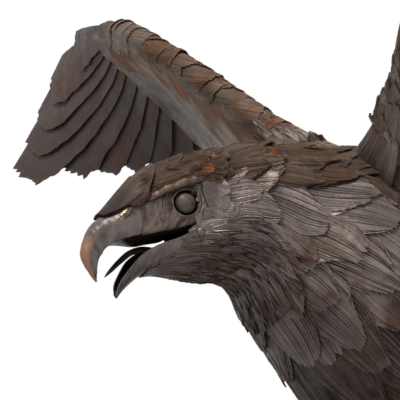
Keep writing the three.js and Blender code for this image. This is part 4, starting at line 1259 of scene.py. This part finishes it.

# Brows
# A strip of bar is welded over each eye below the crown plates and dressed into a hood that shades it.
# Its tone is kept dark as painted shade under the crown plates, and its underside is painted darker
# still as painted shade.
brow_height = 0.0041
brow_front, brow_rear = 5.3, 9.85
brow_grid = (120, 28)
brow_at = np.linspace(brow_front, brow_rear, brow_grid[0])[:, None]
brow_share = (brow_at - brow_front) / (brow_rear - brow_front)
brow_round = full_turn(brow_grid[1])
brow_reach = brow_height * np.interp(
    brow_share, (0, 0.25, 0.5, 0.72, 0.9, 1), (0.05, 0.3, 0.8, 1.15, 0.8, 0.1)
)
brow_lift = brow_reach * (0.3 - 0.7 * np.cos(brow_round)) + 0.0002 * mottling(31, *brow_grid, 8)
brow_turn = 0.204 - 0.008 * brow_share + 0.023 * np.sin(brow_round) + 0.007 * (1 - np.cos(brow_round))
for side, mirror in body_sides:
    make_piece(
        f"{side}_brow_ridge", face_surface(brow_at, brow_turn, brow_lift), face_steel, mirror=mirror,
        marks={
            "tone": 0.08 + 0.2 * mottling(32, *brow_grid, 6), "rust": 0.55,
            "shade": 1.2 * smoothstep(0.2, 0.9, np.sin(brow_round)),
        },
        replaces=f"{side}_brow",
    )

# Crown
# One large plate is bent over the root of the beak like a visor. Behind it smaller plates lap one
# another to the nape, where the neck's feathers run out from under them. Short ones cover the cheeks.
crown_steel = steel(
    "crown_steel", (0.013, 0.0078, 0.0052), (0.078, 0.054, 0.039), rust=0.42, rough=0.48, metal=0.35,
    scored=0.9, stain=(0.062, 0.030, 0.015),
)
crown_rust = (-0.4, 0.56)
visor_length, visor_width = 0.048, 0.034
crown_length, crown_width = 0.031, 0.0195
nape_length, nape_width = 0.047, 0.0215
cheek_length, cheek_width = 0.025, 0.0155
head_end, neck_pace = 10, 0.6
visor_outline = ((0.55, 0.8, 0.95, 1.0, 1.0, 1.0, 1.0, 1.0), 0.42, 1.5)
cheek_outline = ((0.25, 0.7, 0.95, 1.0, 0.97, 0.9, 0.76, 0.5), 0.13, 1.7)
# where the rows of feathers start along the ribs, and for the cheeks also how high their roots lie
crown_stops = (6.35, 6.95, 7.55, 8.15, 8.75, 9.3)
nape_stops = (-0.05, 0.55, 1.15, 1.72, 2.26, 2.78, 3.3, 3.8, 4.3)
cheek_stops = ((9.82, 0.0002), (9.46, 0.0010))


def head_surface(at, turn, lift):
    """The head's surface, carried on over the neck behind it."""
    behind = smoothstep(-0.8, 0.8, at - head_end)[..., None]
    head = face_surface(np.minimum(at, head_end), turn, lift)
    neck = body_surface(np.maximum(at - head_end, 0) * neck_pace, turn, lift)
    return head * (1 - behind) + neck * behind


lay_feathers(
    "crown_visor", face_surface, [(4.66, 0, 0, visor_length, visor_width, 0.0016)], crown_steel,
    visor_outline, rise=0.0026, rows=40, seed=3, ragged=0.03, dish=0.0004, groove=0.3, root_lift=0.0009,
    barbs=26, replaces="crown_plate",
)
vary = np.random.default_rng(41).uniform
crown_seats = [
    (
        at + vary(-0.12, 0.12), turn + vary(-0.006, 0.006), vary(-0.12, 0.12),
        crown_length * vary(0.9, 1.12), (crown_width - 0.0004 * number) * vary(0.92, 1.1),
        0.0013 + vary(0, 0.0008),
    )
    for number, at in enumerate(crown_stops)
    for turn in np.linspace(-1, 1, 5 + number) * 0.152
]
crown_seats += [
    (5.72 + vary(-0.15, 0.15), turn, vary(-0.1, 0.1), 0.030 * vary(0.9, 1.15), 0.0125, 0.0020)
    for turn in (-0.165, -0.105, -0.04, 0.04, 0.105, 0.165)
]
lay_feathers(
    "crown_feathers", head_surface, crown_seats, crown_steel, body_outline, rise=0.0026, seed=5,
    groove=0.9, dish=0.0008, rust_range=crown_rust, curl=0.0006,
)
nape_seats = [
    (
        at + vary(-0.1, 0.1), turn + vary(-0.006, 0.006), vary(-0.1, 0.1),
        nape_length * vary(0.9, 1.12), nape_width * vary(0.9, 1.1), 0.0010 + vary(0, 0.0012),
    )
    for number, at in enumerate(nape_stops)
    for turn in np.linspace(-1, 1, 6 + number) * (nape_half + 0.015)
]
lay_feathers(
    "nape_feathers", body_surface, nape_seats, crown_steel, body_outline, rise=0.0042, seed=7, dish=0.0012,
    rust_range=crown_rust, tone=0.64, curl=0.0012,
)
vary = np.random.default_rng(43).uniform
cheek_seats = [
    (
        at + vary(-0.16, 0.16), sign * turn, sign * vary(-0.1, 0.3),
        cheek_length * vary(0.85, 1.15), cheek_width * vary(0.85, 1.15), high + vary(0, 0.0008),
    )
    for at, high in cheek_stops
    for turn in np.arange(0.190, 0.372, 0.029) + 0.0145 * (at < 9.6)
    for sign in (1, -1)
]
lay_feathers(
    "cheek_feathers", head_surface, cheek_seats, plumage_steel, cheek_outline, rise=0.0022, seed=6,
    tone=body_tone, dish=0.0006, root_shade=0.6, curl=0.0006, groove=0.35, barbs=13,
)

# Throat
# Under the jaw the feathers are fine and hair-like: narrow strips of sheet, deeply scored, that run
# back from the lower beak over the throat.
throat_outline = ((0.5, 0.9, 1.0, 0.95, 0.85, 0.7, 0.42, 0.06), 0.1, 1.6)
throat_front = 3.7
hackle_length, hackle_width = 0.045, 0.0058
throat_blend = (0.06, 0.12, 0.2, 0.24, 0.2, 0.12, 0.06)
throat_pace, throat_side = 0.62, 0.185


def throat_run(back, across, lift):
    """From the lower beak's underside back to the neck: the jaw's surface eased into the body's."""
    place = 0
    for shift, weight in zip(np.linspace(-1.05, 1.05, len(throat_blend)), throat_blend):
        at = throat_front - back + shift
        jaw = jaw_surface(np.maximum(at, 0), across, lift)
        neck = body_surface(np.maximum(-at, 0) * throat_pace, 0.5 - throat_side * across, lift)
        on_jaw = smoothstep(-0.35, 0.35, at)[..., None]
        place = place + weight * (jaw * on_jaw + neck * (1 - on_jaw))
    swell = 0.0036 * np.exp(-(((back - throat_front - 0.3) / 1.2) ** 2))[..., None]
    return place + swell * xyz(np.sin(across * math.pi / 2), 0, -np.cos(across * math.pi / 2))


throat_stops = np.linspace(-1, 9, 400)
throat_middle = throat_run(throat_stops, np.array(0.6), 0)
throat_length = np.insert(np.cumsum(np.linalg.norm(np.diff(throat_middle, axis=0), axis=-1)), 0, 0)
throat_unit = 0.0116


def throat_surface(back, across, lift):
    """The same, with back in even steps along the throat."""
    stop = np.interp((back + 1) * throat_unit, throat_length, throat_stops)
    return throat_run(stop, across, lift + 0.0062 * smoothstep(3.0, 6.5, back))


def throat_tone(here):
    """Dark below the jaw, and grey again where the throat meets the neck's side."""
    return 0.04 + 0.38 * smoothstep(-0.05, -0.015, here[..., 2] - bird_origin[2])


throat_seats = []
vary = np.random.default_rng(88).uniform
for back in np.arange(0, 6.9, 0.36):
    limit = 0.38 + 0.62 * smoothstep(0, 2.8, back)
    wider = smoothstep(3.4, 6.6, back)
    throat_seats += [
        (
            back + vary(-0.35, 0.35), across + vary(-0.04, 0.04), vary(-0.12, 0.12),
            hackle_length * vary(0.6, 1.3), (hackle_width + 0.0046 * wider) * vary(0.8, 1.25),
            vary(0, 0.0005),
        )
        for across in np.linspace(-limit, limit, 11 + int(3 * min(back, 3) - 5 * wider))
    ]
lay_feathers(
    "throat_hackles", throat_surface, throat_seats, plumage_steel, throat_outline, rise=0.0019, seed=8,
    tone=throat_tone, dish=0.0004, barbs=3, rows=11, curl=0.0003, root_shade=0.15, rust_range=cap_rust,
    tip_edge=0.15,
)

# Corners of the mouth
# A fold of sheet closes each corner of the mouth from the cheek to the lower beak. A round rivet
# through it holds the hinge of the beak, its foot painted dark as a painted shadow.
gape_grid = (24, 24)
fold_bulge = 0.0014
rivet_seat = np.array([0.30, 0.56])
rivet_radius, rivet_height = 0.0036, 0.0022
# places along the head and the lower beak, and round them
cheek_at, cheek_turn = 9.02, 0.30
gape_at, gape_across = 1.35, 0.72


def gape_surface(back, down, lift):
    """From the corner of the mouth rearward, and from the cheek down to the jaw, on the left side."""
    top = face_surface(cheek_at + 1.1 * back, np.array(cheek_turn), lift)
    low = jaw_surface(gape_at * (1 - back), np.array(gape_across), lift)
    bulge = xyz(fold_bulge * np.sin(math.pi * np.clip(down, 0, 1)), 0, 0)
    return top * (1 - down[..., None]) + low * down[..., None] + bulge


gape_down = np.linspace(0, 1, gape_grid[1])
gape_back = np.linspace(0, 0.72, gape_grid[0])[:, None]
gape_back = gape_back + 0.16 * np.sin(math.pi * gape_down) * (1 - gape_back)
fold = both_faces(gape_surface, gape_back, gape_down, 0.0003 - feather_sheet, 0.0003)
dome_tilt = np.linspace(0.05, math.pi / 2, 16)[:, None]
dome_turn = full_turn(32)
dome = gape_surface(*rivet_seat, 0.0012) + xyz(
    rivet_height * np.cos(dome_tilt),
    rivet_radius * np.sin(dome_tilt) * np.cos(dome_turn),
    rivet_radius * np.sin(dome_tilt) * np.sin(dome_turn),
)
for side, mirror in body_sides:
    make_piece(
        f"{side}_mouth_corner", fold, face_steel, marks={"tone": 0.62 + 0.2 * mottling(44, *gape_grid, 4)},
        mirror=mirror,
    )
    make_piece(
        f"{side}_hinge_rivet", dome, face_steel, turned=True, mirror=mirror,
        marks={"tone": 0.4, "shade": 1.3 * smoothstep(1.2, 1.55, dome_tilt)},
    )

# Welds
# Brass was run along the seam of the visor with a torch, and drops of it still show. Beads of steel
# weld stand behind each eye, and rusty ones under the jaw.
brass = steel("brazing_brass", (0.16, 0.10, 0.05), (0.50, 0.37, 0.22), rough=0.3, metal=0.90)
weld_steel = steel("weld_steel", (0.05, 0.038, 0.03), (0.24, 0.195, 0.165), rust=0.1, rough=0.4, metal=0.42)


def beads(name, surface, seats, finish):
    """Drops of weld: seats holds place along and across the surface, radius, height and stretch."""
    drops = []
    tilt = np.linspace(0.08, 1.7, 8)[:, None]
    turn = full_turn(14)
    for p, q, radius, high, stretch in seats:
        middle, ahead, aside = (
            surface(np.array(p + dp), np.array(q + dq), 0) for dp, dq in ((0, 0), (1e-3, 0), (0, 1e-3))
        )
        ahead, aside = unit(ahead - middle), unit(aside - middle)
        spread = radius * np.sin(tilt) * (1 + 0.15 * np.sin(3 * turn + p * 9))
        drops.append(
            middle + (stretch * spread * np.cos(turn))[..., None] * ahead
            + (spread * np.sin(turn))[..., None] * aside
            + (high * np.cos(tilt))[..., None] * np.cross(ahead, aside)
        )
    drops += [drop[:, ::-1] * (-1, 1, 1) for drop in drops]
    make_piece(name, drops, finish, turned=True, marks={"tone": [0.5] * len(drops)})


vary = np.random.default_rng(64).uniform
drop_seats = [
    (at + vary(-0.03, 0.03), 0.190 + vary(-0.004, 0.004), vary(0.0005, 0.0011), 0.0013, 1.5)
    for at in np.linspace(5.05, 5.85, 11)
]
beads("brass_drops", face_surface, drop_seats, brass)
lump_seats = [
    (at, turn, vary(0.0010, 0.0019), 0.0013, 1.1)
    for at, turn in zip(vary(9.25, 9.5, 12), vary(0.205, 0.30, 12))
]
beads("eye_welds", face_surface, lump_seats, weld_steel)
jaw_seats = [
    (at, across, vary(0.0008, 0.0015), 0.0012, 1.4)
    for at, across in zip(vary(2.2, 3.4, 14), vary(0.28, 0.5, 14))
]
beads("jaw_welds", jaw_surface, jaw_seats, weld_steel)

# Floor
# A plain pale sheet, on which only the shadow of the piece is seen. It brightens to white away from
# the piece, and from below it is clear.
floor_reach = 9.0
floor_drop = 0.0005
floor_mesh = bpy.data.meshes.new("floor")
floor_mesh.from_pydata(
    [(x * floor_reach, y * floor_reach, -floor_drop) for x, y in ((-1, -1), (1, -1), (1, 1), (-1, 1))],
    [], [(0, 1, 2, 3)],
)
floor = bpy.data.objects.new("floor", floor_mesh)
bpy.context.scene.collection.objects.link(floor)
floor_finish = bpy.data.materials.new("floor_white")
floor_finish.use_nodes = True
floor_mesh.materials.append(floor_finish)
tree = floor_finish.node_tree
tree.nodes.remove(tree.nodes["Principled BSDF"])


def direct_rays(tree):
    """One for what is seen directly, in a mirror finish or through glass, and nought for lighting."""
    path = node(tree, "LightPath")
    seen = maths(tree, "MAXIMUM", path["Is Camera Ray"], path["Is Transmission Ray"])
    return maths(tree, "MAXIMUM", seen, path["Is Glossy Ray"])


here = node(tree, "NewGeometry")
reach = node(tree, "VectorMath", {0: here["Position"]}, operation="LENGTH")["Value"]
glow = maths(tree, "MULTIPLY", ramp(tree, reach, 0.5, 2.6, 0.5, 1.0), direct_rays(tree))
pale = node(tree, "BsdfDiffuse", {"Color": (0.55, 0.55, 0.55, 1)})["BSDF"]
lit = node(tree, "Emission", {"Color": (1, 1, 1, 1), "Strength": glow})["Emission"]
above = node(tree, "AddShader", {0: pale, 1: lit})["Shader"]
clear = node(tree, "BsdfTransparent")["BSDF"]
both = node(tree, "MixShader", {0: here["Backfacing"], 1: above, 2: clear})["Shader"]
tree.links.new(both, tree.nodes["Material Output"].inputs["Surface"])

# Camera
# It stands low, ahead and to the left of the bird, and looks up at the head past the far wing.
focus = Vector(bird_origin)
camera_turn, camera_rise, camera_far = math.radians(65), math.radians(-12), 1.6
towards = Vector((
    math.sin(camera_turn) * math.cos(camera_rise), -math.cos(camera_turn) * math.cos(camera_rise),
    math.sin(camera_rise),
))
camera = bpy.data.objects.new("camera", bpy.data.cameras.new("camera"))
bpy.context.scene.collection.objects.link(camera)
camera.location = focus + camera_far * towards
camera.rotation_euler = (-towards).to_track_quat("-Z", "Y").to_euler()
camera.data.sensor_width = 36
camera.data.lens = 192
bpy.context.scene.camera = camera

# Light
# A soft box overhead and a little ahead, a weak one behind the bird's left wing, and a pale room.
room_light = (0.16, 0.16, 0.168)
world = bpy.data.worlds.new("world")
bpy.context.scene.world = world
world.use_nodes = True
tree = world.node_tree
shown = blend(tree, direct_rays(tree), room_light, (1, 1, 1))
tree.links.new(shown, tree.nodes["Background"].inputs["Color"])


def lamp(name, place, size, power):
    made = bpy.data.objects.new(name, bpy.data.lights.new(name, "AREA"))
    bpy.context.scene.collection.objects.link(made)
    made.location = place
    made.rotation_euler = (focus - Vector(place)).to_track_quat("-Z", "Y").to_euler()
    made.data.size = size
    made.data.energy = power


lamp("key", (0.9, -1.3, 3.0), 0.9, 96)
lamp("fill", (2.2, 1.2, 0.9), 1.6, 10)

# Finish
# Colours are shown through the Standard view transform.
bpy.context.scene.view_settings.view_transform = "Standard"
